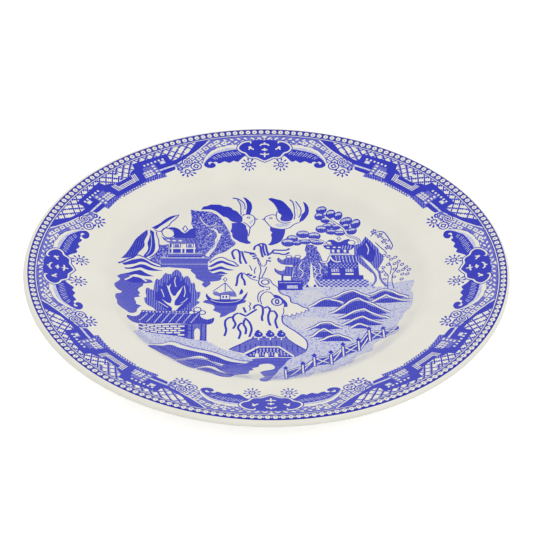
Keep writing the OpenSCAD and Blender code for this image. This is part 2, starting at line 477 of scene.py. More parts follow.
class Transfer:
    """A flat transfer: every shape covers the ones drawn before it."""

    def __init__(self):
        self.points = []
        self.shapes = []
        self.inks = []
        self.cuts = []

    def polygon(self, ink, outline):
        """Any closed outline, kept anticlockwise."""
        outline = np.asarray(outline, float)
        following = np.roll(outline, -1, 0)
        area = (outline[:, 0] * following[:, 1] - outline[:, 1] * following[:, 0]).sum()
        if area < 0:
            outline = outline[::-1]
        first = len(self.points)
        self.points += [(float(x), float(y)) for x, y in outline]
        self.shapes.append(list(range(first, first + len(outline))))
        self.inks.append(ink)

    def patch(self, ink, *points):
        """A patch with a flowing outline."""
        self.polygon(ink, flow(points, True))

    def plain(self, ink, *points):
        """A patch with straight sides."""
        self.polygon(ink, np.array(points, float).reshape(-1, 2))

    def block(self, ink, left, bottom, right, top):
        """An upright rectangle."""
        self.plain(ink, left, top, right, top, right, bottom, left, bottom)

    def line(self, ink, width, *points, closed=False, flowing=True):
        """A line of even width."""
        path = flow(points, closed) if flowing else np.array(points, float).reshape(-1, 2)
        if closed:
            path = np.vstack([path, path[:1]])
        along = np.gradient(path, axis=0)
        if closed:
            along[0] = along[-1] = path[1] - path[-2]
        along /= np.maximum(np.linalg.norm(along, axis=1), LEAST)[:, None]
        side = np.stack([-along[:, 1], along[:, 0]], 1) * width / 2
        left, right = path + side, path - side
        for i in range(len(path) - 1):
            self.polygon(ink, [right[i], right[i + 1], left[i + 1], left[i]])

    def oval(self, ink, x, y, rx, ry=None, turn=0.0, sides=None):
        """An oval, turned by so many degrees."""
        ry = rx if ry is None else ry
        sides = sides or max(FEWEST_SIDES, round(2 * math.pi * max(rx, ry) / OVAL_STEP))
        c, s = math.cos(math.radians(turn)), math.sin(math.radians(turn))
        outline = []
        for a in np.linspace(0, 2 * math.pi, sides, endpoint=False):
            u, v = rx * math.cos(a), ry * math.sin(a)
            outline.append((x + c * u - s * v, y + s * u + c * v))
        self.polygon(ink, outline)

    def ring(self, ink, inside, x, y, rx, ry, width):
        """An oval line, with its inside filled."""
        self.oval(ink, x, y, rx + width / 2, ry + width / 2)
        self.oval(inside, x, y, rx - width / 2, ry - width / 2)

    def cut(self, *points):
        """A line along which the film's triangles must divide."""
        self.cuts.append(list(points))

    def mesh(self, name, bend=None, keep=None):
        """The transfer as a flat mesh in metres, with the ink's number on every face."""
        points, edges = list(self.points), []
        for cut in self.cuts:
            for a, b in zip(cut[:-1], cut[1:]):
                edges.append((len(points), len(points) + 1))
                points += [a, b]
        verts, _, faces, _, _, sources = delaunay_2d_cdt(
            [Vector(p) for p in points], edges, self.shapes, 0, JOIN, True)
        at = np.array([(v.x, v.y) for v in verts])
        kept, inks = [], []
        for face, source in zip(faces, sources):
            if not source:
                continue
            ink = self.inks[max(source)]
            if ink == CREAM:
                continue
            middle = at[list(face)].mean(0)
            if keep is not None and not keep(*middle):
                continue
            kept.append(face)
            inks.append(ink)
        used = sorted({i for face in kept for i in face})
        number = {old: new for new, old in enumerate(used)}
        at = at[used]
        if bend is not None:
            at = bend(at)
        mesh = bpy.data.meshes.new(name)
        mesh.from_pydata(
            [(x * MM, y * MM, 0.0) for x, y in at], [],
            [[number[i] for i in face] for face in kept])
        mesh.attributes.new("ink", "INT", "FACE").data.foreach_set("value", inks)
        if mesh.polygons[0].normal.z < 0:
            mesh.flip_normals()
        return mesh


# ---------------------------------------------------------------- the border and the beaded line
# Both are drawn as one repeat, unrolled: s is the length along the circle of radius ROLL_R,
# measured from a medallion's middle, and r is the radius.
ROLL_R = 115.0
OCTANT_S = math.radians(45) * ROLL_R
BORDER_OUT = 126.45
LINE_IN = 126.95
BEADS_OUT = 131.2
BEADS = 208
BEAD_R = 129.1
# laths of the trellis in one octant, and how high they run
LATHS = 18
TRELLIS_TOP = 126.1
LATH_W = 0.75
HOOK_W = 0.6
# the slanting strip's squares: lean in degrees, first square, pitch along and across, shift of a row
STRIP_LEAN = -27
STRIP_START = (37.4, 118.2)
SQUARE_PITCH = 3.9
ROW_PITCH = 3.5
ROW_SHIFT = 0.9
# lines across the border and round the beads, along which the films divide to follow the face
BORDER_CUTS = 21
BEAD_CUTS = (130.1, 130.65)


def roll_up(at):
    """Turns unrolled places (s, r) into places round the axis."""
    angle = at[:, 0] / ROLL_R
    return np.stack([at[:, 1] * np.cos(angle), at[:, 1] * np.sin(angle)], 1)


def blossom(t, x, y, ring_r, petal_r, petals, lean=0.0):
    """An open flower: a ring with stalked petals round it."""
    for i in range(petals):
        a = math.radians(lean + 360 * i / petals)
        c, s = math.cos(a), math.sin(a)
        t.line(MID, 0.45, x + c * ring_r, y + s * ring_r, x + c * petal_r, y + s * petal_r)
        t.oval(SOLID, x + c * petal_r, y + s * petal_r, 0.95, 0.58, math.degrees(a), 8)
    t.ring(SOLID, CREAM, x, y, ring_r, ring_r, 0.7)
    t.oval(MID, x, y, ring_r * 0.35, sides=6)


def trellis(t):
    """The outer band: laths crossing over bare glaze, with two short hooks in each gap."""
    pitch = OCTANT_S / LATHS
    top = TRELLIS_TOP
    for i in range(-4, 24):
        s = i * pitch
        low = 120 if s < 45 else 115.5
        t.line(SOLID, LATH_W, s, low, s + top - low, top, flowing=False)
        t.line(SOLID, LATH_W, s + pitch / 2, low, s + pitch / 2 - (top - low), top, flowing=False)
    for row in range(1, 5):
        r = 115.3 + row * pitch / 2
        for i in range(-1, 37):
            if (i + row) % 2:
                s = i * pitch / 2
                t.line(SOLID, HOOK_W, s - 1.1, r - 0.2, s, r + 1.0, flowing=False)
                t.line(SOLID, HOOK_W, s - 0.1, r - 0.9, s + 0.9, r + 0.2, flowing=False)


def strip(t):
    """The slanting strip between the dark bar and the leaf: pale squares with hatched middles."""
    t.plain(MID, -2, 120, -2, 125.9, 31, 125.9, 40, 119.4, 56, 113.2, 56, 108.5, 40, 109, 36, 113.5,
        24, 120)
    lean = math.radians(STRIP_LEAN)
    c, s = math.cos(lean), math.sin(lean)
    for row in range(4):
        for column in range(-4, 8):
            x = STRIP_START[0] + c * SQUARE_PITCH * column + s * ROW_PITCH * row + row * ROW_SHIFT
            y = STRIP_START[1] + s * SQUARE_PITCH * column - c * ROW_PITCH * row
            if y > 125.2 or y < 108.6 or x < 9 or x > 56 or (x < 34 and y < 119.6):
                continue
            corners = []
            for u, v in ((-1.5, -1.2), (1.3, -1.2), (1.5, 1.2), (-1.3, 1.2)):
                corners += [x + c * u - s * v, y + s * u + c * v]
            t.plain(CREAM, *corners)
            t.oval(MID, x, y, 0.75, 0.55, STRIP_LEAN, 6)
    for s0 in (-0.9, 2.9, 6.7, 10.5, 14.3, 18.1, 21.9, 25.7):
        t.oval(CREAM, s0, 124.3, 1.2, 0.6, 30, 8)
        t.oval(CREAM, s0 + 1.9, 122.3, 1.2, 0.6, -30, 8)
        t.oval(CREAM, s0 + 0.2, 120.7, 0.9, 0.5, 30, 8)


def bar(t):
    """The dark slanting bar with its pale edges."""
    t.line(CREAM, 0.8, 30.2, 125.8, 35.0, 122.0, 40.0, 118.8, 45.0, 116.6, 50.0, 114.7, 54.0, 113.4)
    t.plain(SOLID, 57, 116.4, 51, 117.1, 45.1, 119.2, 40.9, 121.6, 36.4, 125.9, 32, 125.9, 33, 123.8, 35.5,
        122.1, 40.4, 119.1, 45.3, 116.9, 50, 115, 54, 113.7, 57, 113)


def key_block(t):
    """The dark block of the key fret and its plaid panels."""
    t.plain(SOLID, 78, 124.1, 66.7, 123.1, 56.9, 122.5, 56.7, 118.2, 55, 115, 57.4, 109.8, 60.3, 109.4,
        80.5, 109, 80.5, 117)
    t.plain(LEAF, 80.5, 108.4, 65.3, 106.7, 64.8, 109.4, 76.3, 110.4, 80.5, 109.4)
    t.block(MID, 79.5, 110.8, 70.2, 115.7)
    t.block(MID, 75.3, 115.7, 70.2, 118.2)
    # pale squares along the top and the foot, then the plaid of crossed pale threads
    for x in (60.6, 63.0, 65.4, 67.8, 70.2, 72.6):
        t.block(CREAM, x - 0.5, 119.1, x + 0.7, 120.4)
    t.block(LIGHT, 60.3, 116.5, 63.5, 118.7)
    t.block(CREAM, 61.2, 116.8, 62.6, 118.7)
    t.block(MID, 66.7, 109.8, 69.9, 118.7)
    for y in (117.8, 115.7, 113.6, 111.5):
        t.block(CREAM, 67.6, y - 1.1, 69.3, y)
    t.plain(LIGHT, 55.4, 113.3, 66.7, 113.3, 66.7, 112.1, 56.2, 112.1)
    for x in (57.4, 60.2, 63.0, 65.4):
        t.block(CREAM, x - 0.8, 112.4, x + 0.8, 113.0)
    for x in (71.6, 73.6, 75.6, 77.6):
        t.block(CREAM, x - 0.32, 110.9, x + 0.32, 115.6)
    for y in (114.6, 112.8, 111.6):
        t.block(CREAM, 70.3, y - 0.28, 79.3, y + 0.28)
    for x in (67.4, 69.6, 71.8, 74.0, 76.2, 78.4):
        t.plain(SOLID, x - 0.25, 109.2, x + 0.25, 109.2, x + 0.25, 107.3, x - 0.25, 107.2)


def corner(t):
    """The dark band across the corner with its pale bracket and looped fringe."""
    end = OCTANT_S + 1
    for i in range(5):
        t.ring(SOLID, CREAM, 81.6 + 1.95 * i, 108.2, 0.75, 0.95, 0.5)
    t.plain(SOLID, end, 117, 85, 117.3, 82, 119.7, 79, 120.2, 78.3, 124, 76, 122, 78, 109.4, 84, 108.8, end,
        109.0)
    for y in (112.3, 113.35, 114.4):
        t.line(CREAM, 0.62, end, y, 84.6 - (y - 112.3) * 0.3, y, flowing=False)
    for x in (81.6, 82.75, 83.9):
        t.line(CREAM, 0.62, x + 0.9, 112.0, x, 117.4, flowing=False)


def acanthus(t):
    """The scrolled leaf with its streaks and the shaded pale band behind it."""
    band = (15, 118.4, 20, 120.3, 22.5, 119.8, 23.4, 119.3, 25, 119.5, 28.2, 118.7, 29.4, 118,
            31, 117.6, 33.2, 116, 35.6, 114.1, 37.6, 111.9, 39.2, 109.1)
    t.line(SOLID, 0.7, *band)
    t.patch(CREAM, *band, 37, 109.5, 33, 111.5, 26, 113, 20, 113, 14, 112)
    t.patch(LIGHT, 14.9, 116.6, 19, 117.9, 24, 117.7, 28.5, 116.6, 32.2, 114.8, 35.2, 112.6, 38, 110, 37,
        108.5, 33, 111.5, 26, 113, 20, 113, 14, 112)
    t.patch(SOLID, 11.2, 111.3, 15.6, 116, 20.5, 116.1, 25.5, 115.5, 30.4, 114.5, 33.3, 112.8, 35.8, 111.3,
        37.7, 109.6, 39, 107.9, 38.2, 105.9, 36.3, 104.8, 34.3, 104.5, 32.3, 105.2, 31.6, 106.4, 32.1,
        107.6, 33, 108.1, 32.2, 108.7, 30.4, 108.4, 29.9, 107.1, 28.4, 107.1, 25.5, 108.1, 24.2, 107.4, 23,
        106.5, 21.5, 106.9, 19.6, 107.9, 18.3, 106.9, 17.1, 106.7, 15.1, 108.4, 13.2, 110.1)
    t.patch(CREAM, 32.9, 108.5, 34.2, 109.4, 35.8, 109.1, 36, 107.9, 35, 107.1, 35, 108)
    for x, y, length in ((15.5, 113.4, 2.6), (18.4, 113.4, 3.4), (21.2, 113.2, 3.6), (24.2, 113, 3.2),
                         (27.2, 112.6, 3), (30.2, 111.6, 2.4)):
        t.line(LIGHT, 0.38, x - 0.9, y - length / 2, x, y, x + 1.1, y + length / 2)
        t.line(LIGHT, 0.3, x + 0.5, y - length / 2, x + 1.3, y - 0.2, x + 2.3, y + length / 2 - 0.6)


def small_flowers(t):
    """The flowers between the leaf and the key block."""
    t.ring(SOLID, CREAM, 44.1, 108.2, 3.3, 2.7, 0.7)
    t.plain(SOLID, 41.9, 108.2, 44.1, 110.2, 46.3, 108.2, 44.1, 106.2)
    t.plain(CREAM, 43.0, 108.2, 44.1, 109.2, 45.2, 108.2, 44.1, 107.2)
    t.oval(SOLID, 48, 112.8, 3.2)
    t.ring(CREAM, SOLID, 48, 112.8, 2.3, 2.3, 0.6)
    t.ring(CREAM, SOLID, 48, 112.8, 1.1, 1.1, 0.5)
    for x, y, turn in ((54.9, 106.6, 10), (55.0, 104.2, -25), (52.6, 102.7, -65), (49.6, 102.5, 60),
                       (47.2, 103.4, 30), (46.7, 105.6, 5)):
        t.line(MID, 0.5, 51, 105.8, x, y)
        t.oval(SOLID, x, y, 1.15, 0.65, turn, 8)
    t.ring(SOLID, CREAM, 51, 105.8, 1.5, 1.5, 0.8)
    t.oval(SOLID, 54.6, 109.0, 1.9, 1.3, 20)
    t.oval(CREAM, 54.4, 109.1, 0.8, 0.5, 20, 6)


def medallion(t):
    """Half of the lobed medallion with its sprigs."""
    shape = (7.4, 120.2, 8.0, 121.6, 9.7, 122.0, 12.4, 121.1, 14.6, 119.2, 15.5, 117.2, 15.0, 115.5,
             13.7, 114.0, 11.7, 113.0, 11.0, 111.8, 10.1, 110.2, 8.3, 109.1, 5.3, 109.0, 2.9, 107.6,
             0.0, 106.2)
    for ink, width in ((SOLID, 2.1), (CREAM, 1.0)):
        t.line(ink, width, *shape, -1.5, 105.6)
    t.patch(SOLID, -3, 122.6, 6.2, 122.6, 7.9, 119.7, 8.9, 121.1, 9.7, 121.4, 12.2, 120.5, 14.1, 118.9,
        14.9, 117.2, 14.4, 115.7, 13.3, 114.5, 11.3, 113.5, 10.4, 111.9, 9.6, 110.6, 8.1, 109.7, 5.0, 109.6,
        2.5, 108.1, 0, 106.8, -3, 108.4)
    t.line(CREAM, 0.9, 0, 121.0, 0, 119.2)
    t.line(CREAM, 0.9, -1.6, 119.4, 1.6, 119.5, 2.6, 118.3)
    t.line(CREAM, 0.95, 0, 116.5, 0, 114.2)
    t.line(CREAM, 0.95, -1.6, 115.2, 1.7, 115.2)
    t.line(CREAM, 0.9, 0, 113.0, 0, 109.4)
    t.line(CREAM, 0.9, -2.6, 111.9, 0, 111.5, 2.7, 111.9)
    t.oval(CREAM, 8.5, 117.3, 0.9, 1.0, sides=8)
    t.line(CREAM, 0.95, 8.5, 117.2, 6.4, 115.5)
    t.line(CREAM, 0.85, 8.6, 116.6, 9.4, 115.5)
    t.plain(CREAM, -1.7, 126, 1.7, 126, 0, 124.0)
    for i in range(4):
        t.oval(CREAM, 2.0 * i, 123.4, 0.5, 0.42, sides=6)


def border_transfer():
    """One eighth of the border, from a medallion's middle to a corner's."""
    t = Transfer()
    trellis(t)
    strip(t)
    bar(t)
    key_block(t)
    corner(t)
    small_flowers(t)
    acanthus(t)
    blossom(t, 10.5, 103.9, 1.6, 4.2, 10, 18)
    medallion(t)
    t.plain(SOLID, -2, 125.95, -2, 128, OCTANT_S + 2, 128, OCTANT_S + 2, 125.95)
    for s in np.linspace(0, OCTANT_S, BORDER_CUTS):
        t.cut((s, 98), (s, 129))
    t.cut((-3, BORDER_OUT), (OCTANT_S + 3, BORDER_OUT))
    return t.mesh("border_flat", roll_up, lambda s, r: 0 <= s <= OCTANT_S and r < BORDER_OUT)


def bead_transfer():
    """One bead with its share of the dark line."""
    t = Transfer()
    pitch = 2 * math.pi * ROLL_R / BEADS
    t.block(DEEP, 0, BEADS_OUT, pitch, LINE_IN)
    t.block(MID, 0, 127.8, pitch, 127.5)
    t.oval(CREAM, pitch / 2, BEAD_R, 1.3, 1.42, sides=14)
    t.oval(MID, pitch / 2, BEAD_R - 0.1, 0.36, 0.42, sides=6)
    for r in BEAD_CUTS:
        t.cut((0, r), (pitch, r))
    return t.mesh("bead_flat", roll_up)


# ---------------------------------------------------------------- the scene in the well
# Places are millimetres from the print's middle: x to the right, y up the scene.
def doves(t):
    """The two birds and their wings and tails."""
    t.patch(SOLID, -37.3, 71.1, -36, 73.3, -34, 74, -32, 75.2, -29.3, 75.7, -26.3, 76, -24, 75.3, -21.7,
        75.5, -19.7, 74.7, -18.7, 73.5, -17, 73, -15.8, 71.7, -14.7, 70, -13.5, 68.3, -13.3, 65.7, -13.8,
        63.3, -15.3, 62.7, -17.3, 63, -20, 64.3, -21.3, 66.3, -22.7, 67.7, -24.3, 68, -25.7, 69.3, -28.3,
        71.3, -31, 72.2, -33.7, 72, -36, 71.5)
    t.patch(SOLID, -19.7, 62.3, -19.5, 59.7, -19.8, 56.3, -20.3, 54.3, -19.3, 52.3, -19.3, 49.7, -18.3,
        47.3, -16.7, 45.7, -15, 44, -13, 43, -11, 42.1, -8.7, 42.7, -9, 44, -10.3, 45.3, -10.5, 48.3, -10.2,
        52.3, -10.5, 55, -11.3, 57.7, -11.1, 59, -12.3, 61.3, -14, 62.7)
    t.patch(SOLID, -13.1, 81.7, -11.3, 81.5, -9.7, 80.3, -8.3, 79, -7.7, 77, -7.7, 75, -8.3, 73, -8.8, 70.7,
        -11.3, 70.7, -11.1, 73.3, -10.7, 75.7, -10.9, 78, -11.8, 80.3)
    t.line(SOLID, 0.6, -19, 80.7, -16.7, 80.7, -15, 80.2, -13, 79, -12, 77.3, -11.8, 74.3)
    t.line(SOLID, 0.6, -16.3, 80.2, -15, 78.3, -14.2, 75.7, -14.3, 72.3, -14, 70)
    t.line(LIGHT, 0.5, -14.6, 79.2, -13.2, 76.8, -13, 73, -12.8, 70)
    t.line(CREAM, 1.0, -31, 71, -28, 69.7, -25.7, 67.7, -24, 64.7, -21.7, 62.5, -19.7, 61.8)
    t.line(SOLID, 0.6, -13.5, 69, -12.3, 70.2, -10, 70.6, -7.6, 69.7, -6.3, 67.9, -6.2, 66, -6.3, 63, -7.3,
        60.3, -8.9, 57.7, -9.3, 54, -10, 49.7)
    t.line(SOLID, 0.6, -12.7, 63, -10.9, 61.3, -9.7, 59.3, -9, 57.7)
    t.patch(LIGHT, -9, 61.5, -7.6, 63, -7.2, 66, -8.2, 65, -9.4, 63)
    t.line(SOLID, 0.7, -6.6, 67.2, -4.4, 66.1, -6.2, 65.3)
    t.ring(SOLID, CREAM, -9.8, 67.7, 0.8, 0.7, 0.5)
    t.patch(SOLID, 1.7, 81.1, 3.3, 81.8, 6.3, 81, 9.3, 80.2, 11.3, 78.7, 12.7, 77, 14, 75.3, 15, 73.7, 15.7,
        71.7, 16.2, 70.3, 15.8, 67, 14.9, 65, 13, 64, 11, 64, 9.3, 64.7, 8.5, 66.3, 9, 68.3, 9.3, 70, 7.7,
        71.7, 7, 74.3, 6, 76.7, 4.7, 78.7, 3, 80.2)
    t.line(SOLID, 0.6, 6.9, 73, 6.3, 69.7, 6.7, 66.3, 8.3, 63.7, 11, 62.4, 14.5, 63)
    t.line(SOLID, 0.6, 14.3, 80.2, 15.7, 79, 16.7, 76.3, 16.9, 72.3, 17.2, 69.7, 16.6, 66)
    t.line(SOLID, 0.6, 17.7, 79, 19.3, 76.7, 20.7, 73.7, 20.5, 70.3, 19.2, 67.4)
    t.line(LIGHT, 0.5, 16.4, 79, 18, 76, 18.8, 72, 18.6, 68.6)
    t.patch(SOLID, 22, 78.3, 23.3, 77.5, 24.7, 75.7, 25.3, 73.3, 25, 70.3, 23.7, 67.7, 22, 65, 19.7, 63.1,
        19.8, 65.7, 20.7, 68, 21, 69.7, 22.7, 71.7, 23, 74.3, 22.5, 76.7)
    t.patch(SOLID, 2.7, 58.7, 5, 57.7, 8.3, 56.7, 11.3, 56.3, 11, 53, 10.3, 49.7, 9.3, 46.3, 7.7, 43.7, 5,
        41.7, 2.3, 40.7, 1, 41.7, 2.3, 43, 3.1, 45.7, 3.3, 48.3, 2.9, 51, 3.7, 53, 2.5, 55)
    t.line(CREAM, 0.9, 2, 58, 1.1, 55.7, 1.3, 52.3, 2.3, 49)
    t.line(SOLID, 0.6, 6, 69.8, 4.2, 70.4, 2.3, 69.8, 0, 68.3, -0.5, 67, -0.3, 65, 1, 62.3, 2.3, 59.7, 3.7,
        58, 6.3, 56.9, 9.7, 56.3, 12.3, 57, 14.3, 58.3, 15.7, 60.3, 17.7, 62, 19.7, 63)
    t.patch(LIGHT, 5, 60.5, 8, 58.6, 12, 59, 14.4, 61, 12, 62, 8, 62)
    t.line(SOLID, 0.7, -0.2, 67.1, -1.9, 66, -0.2, 65.2)
    t.ring(SOLID, CREAM, 3.1, 67.1, 0.8, 0.7, 0.5)


def tall_tree(t):
    """The dense tree behind the temple."""
    t.patch(SCRIBBLE, -43.4, 69.8, -40, 70, -36, 70.5, -33, 70.8, -30, 70.3, -27.5, 68.5, -25.5, 66, -24.3,
        63, -23, 59.7, -21.8, 56.5, -20.8, 53.5, -20.2, 50, -19.5, 46.5, -17.3, 43, -18.3, 40.5, -20.5, 38,
        -22.5, 35.5, -25, 33.5, -27.7, 32.2, -29.5, 30, -31, 28, -32, 25.5, -34, 25.5, -36, 30, -42, 34,
        -42, 58, -43, 60, -42.7, 64)
    t.line(CREAM, 0.55, -38, 66.5, -36.5, 63, -33.2, 59.6, -30, 60, -28.4, 63)
    t.line(CREAM, 0.55, -31.5, 55.5, -28.3, 59.5, -24.8, 58.8)
    t.line(CREAM, 0.55, -33.5, 49.5, -31, 52.6)
    t.patch(CREAM, -34.7, 31.3, -32, 36.3, -30, 39.7, -29, 43.7, -29.3, 45.7, -28.1, 49, -28.3, 52.3, -29.7,
        55, -31.7, 57.3, -28.3, 55.7, -27, 52.3, -25.7, 52, -24.7, 52.3, -26, 49.7, -26.3, 47, -27.7, 43,
        -29, 37.7, -31, 33.7, -32.7, 29.7)
    t.line(LIGHT, 0.4, -32.6, 33, -30.2, 38.2, -28.3, 42.6, -27.6, 47.4)


def temple(t):
    """The little temple on its terrace, with the bush beside it."""
    t.patch(FERN, -61, 40.5, -58, 40.8, -55.3, 42, -55.5, 33, -56, 29.5, -59.7, 29, -60, 22.5, -63, 24, -66,
        27, -64, 30, -61.5, 34, -60.5, 38)
    t.patch(SOLID, -56, 54.7, -54, 55.6, -51.5, 55.8, -49.5, 54.8, -48.2, 53.2, -46.7, 52.2, -45.2, 53.5,
        -43.5, 56, -41, 57, -40, 50, -41, 47, -52.5, 47.5, -52.8, 49.5, -52.4, 51.5, -52.8, 53.2, -54, 54.2)
    t.ring(SOLID, CREAM, -56, 50.7, 3.6, 3.6, 0.6)
    t.line(SOLID, 0.7, -46.3, 58.5, -44.9, 56, -46.3, 53.3, -47.8, 55.7, closed=True, flowing=False)
    t.plain(CREAM, -46.3, 57.2, -45.5, 55.9, -46.3, 54.6, -47.1, 55.8)
    t.plain(MID, -60, 47.8, -59, 47, -57, 46.7, -53, 47.5, -41, 47.5, -38.5, 44, -37, 42.7, -54, 42.7, -56,
        43.2, -58.5, 45)
    for x in (-55.7, -52.5, -49):
        t.oval(CREAM, x, 45.1, 1.15, 0.75)
    for i in range(4):
        t.line(SOLID, 0.6, -46 + 2.2 * i, 47.4, -44.4 + 2.2 * i, 43.2, flowing=False)
    t.block(SOLID, -55, 33.3, -39.7, 42.6)
    t.block(CREAM, -52.7, 39.2, -49, 42.2)
    t.block(MID, -52.2, 39.2, -49.6, 41.8)
    t.block(CREAM, -45, 39.2, -41.7, 42.2)
    t.block(MID, -44.4, 39.2, -42.4, 41.8)
    t.block(CREAM, -54.6, 37.3, -40, 38.6)
    for x in (-53.4, -48.1, -46, -40.9):
        t.block(CREAM, x - 0.42, 33.4, x + 0.42, 42.2)
    t.block(CREAM, -47.6, 38.6, -46.4, 42)
    t.block(MID, -55.7, 28.6, -36.3, 32.9)
    t.block(SOLID, -55.7, 29.9, -36.3, 31)
    t.block(CREAM, -55.7, 33.0, -36.3, 33.5)
    t.block(WATER, -59.7, 20.3, -33, 28.6)
    t.block(LIGHT, -59.7, 28.4, -33, 29.1)
    t.block(LIGHT, -59.7, 22.7, -33, 23.2)


def leaf_rocks(t):
    """The long leaves and the mounds at the left bank."""
    t.patch(DARK, -67.7, 49, -69.3, 47, -72, 43, -74.3, 39, -76, 34.3, -78, 29, -80, 24.3, -81.7, 21, -79,
        23, -76.3, 25, -74.3, 27, -73, 29, -71.7, 31.7, -70, 34.7, -69, 37.7, -69.3, 40.3, -68.3, 43.7,
        -67.5, 46)
    t.patch(SOLID, -66.3, 49.7, -64, 49, -63.8, 45.7, -63.3, 41.7, -63.1, 38.3, -63.7, 33.7, -65.7, 30.3,
        -68.3, 28, -69.3, 29.3, -67.7, 33, -67, 36.3, -67.5, 39.7, -66.7, 43, -66.3, 46.3)
    t.line(LIGHT, 0.4, -66, 47.5, -65.3, 43, -65.4, 38, -66.2, 33.5, -67.8, 30)
    t.line(SOLID, 0.6, -62.7, 49.7, -62.3, 47, -61.3, 44.3, -61, 39.7, -60.7, 37.7, -61.7, 34.3, -63.7, 31,
        -66, 28.3)
    t.patch(SOLID, -65.3, 51.3, -64, 52.7, -61, 55.7, -57.7, 59.7, -54.3, 62.7, -50, 65, -52.3, 63, -55,
        60.3, -58, 57, -61, 53.7, -63, 51.3)
    t.line(SOLID, 0.5, -50, 65, -52, 61.7, -54.3, 59, -55.7, 56.3, -58, 53.7, -59.7, 51.3, -62, 50.3, -64,
        50.7)
    t.line(SOLID, 0.8, -83, 16.3, -80.7, 19, -78.3, 22.3, -75, 25.7, -73.3, 28.3, -71.7, 28.7, -67.7, 27.7,
        -65, 25.7, -61.7, 23.7, -58.7, 21.7, -55.7, 20.3)
    t.patch(SOLID, -81, 17.7, -79, 19.7, -75.7, 23.3, -73, 25.3, -70.3, 26.7, -67.7, 26, -65.7, 24.3, -62.3,
        22, -59, 20.3, -56.3, 20, -60.3, 20, -65, 22, -67.7, 23.7, -69.7, 24, -71.7, 23.3, -73.7, 21.3, -77,
        19, -79.7, 17)
    t.patch(SOLID, -79.7, 15, -76.3, 17, -73, 20, -70.7, 21.7, -68.3, 21.7, -65.7, 20.3, -62.3, 18.3, -58.3,
        17, -63, 16.7, -66.3, 17.3, -69, 18.3, -70.3, 19, -72, 18.3, -75, 16.3, -79, 14.3)
    t.patch(SOLID, -80, 9.7, -77, 12.3, -74.3, 14.7, -72.3, 16, -70.7, 16.7, -68.3, 15, -65.7, 13.3, -63,
        11.7, -66.3, 11.7, -70, 12, -73.3, 12.3, -76, 10.5)


def left_water(t):
    """Still water down the left side, under the temple's terrace and at the foot of the scene."""
    t.patch(WATER, -83.3, 5.3, -81.3, 4, -82.3, 1.7, -84, -1.7, -84.3, -3.5, -82.7, -6, -80, -6.3, -80.7,
        -8.3, -83, -11, -83.3, -14.7, -82.3, -17, -81.7, -21, -79.3, -22.7, -77, -23.7, -75.7, -24.7, -73.7,
        -24, -71.7, -21.7, -71.3, -19, -70, -16.3, -69, -15.3, -72, -14.3, -72.3, -12, -73.3, -9.3, -72.3,
        -8, -70, -7, -71.3, -5.7, -70.3, -3.7, -71.7, -1.3, -70.7, 1, -69, 3, -68.7, 5, -63.7, 6, -64, 7.7,
        -66.3, 9, -79.5, 9.7)
    t.patch(SOLID, -78.3, 5, -75.5, 8.5, -73, 10, -70.7, 9.7, -68.3, 7, -69.7, 5.7, -75, 4.7)
    t.line(CREAM, 1.0, -79, 5, -76.3, 8.3, -74.3, 10.9, -71.7, 11.3, -69.7, 9.7, -67, 7)
    t.patch(WATER, -55.7, 20.3, -52.3, 19.7, -45.7, 19, -42.3, 18.3, -42.7, 17, -41.7, 15.3, -40, 13, -39.7,
        10.3, -37.7, 8.3, -35, 6.3, -36.3, 4.7, -35.7, 3, -34.3, 1.3, -32.7, 3, -31.3, 5, -32, 6.7, -29.7,
        7, -26.3, 8, -25.3, 9.7, -25.7, 11, -23.3, 12.7, -31, 15, -32.7, 18.3, -33, 20.3)
    t.line(SOLID, 0.8, -32, 24.3, -29.7, 27, -27, 29, -25, 29.3, -23, 28, -21, 26.3, -18.7, 25.3, -17, 23,
        -15.7, 21)
    t.patch(SOLID, -33, 20.7, -30.3, 23, -28.3, 25, -25.3, 26.3, -23, 25, -20.3, 23.3, -17, 21.3, -15.7,
        20.7, -18.3, 20.7, -23, 22.7, -25, 24, -28.3, 22.3, -31, 20.3)
    t.patch(SOLID, -32.7, 17.3, -29.7, 19, -25.7, 21, -23.7, 19.7, -21, 18.3, -18, 17.7, -21, 17, -23.7,
        17.7, -25.7, 18.3, -28.3, 17.3, -31, 16)
    t.patch(SOLID, -30.7, 14, -28.3, 15.3, -25.7, 16.3, -23.3, 15, -21.7, 13.7, -25, 13.7)
    t.patch(WATER, -9, -60.5, 13, -59.5, 10, -62, 7.7, -66.3, 5.3, -69.7, 4.3, -73, 2.3, -77.7, 1.5, -82,
        0.7, -87, -1, -90.2, -3, -91, -5, -90, -5.3, -87, -3.5, -83.5, -2.7, -79.7, -4, -75, -5, -73, -3.5,
        -71.5, 0, -70.3, 2.7, -69, 3, -67, 1, -64.8, -3, -64.7, -5.3, -65.5, -5.5, -67, -9, -68.5, -8.3,
        -70.3, -10.7, -71.7, -10.7, -74.3, -13, -76, -16.3, -77.7, -18.3, -79, -21.7, -78.3, -24.3, -75,
        -26.3, -72, -24.3, -65.7, -12.3, -64.3)


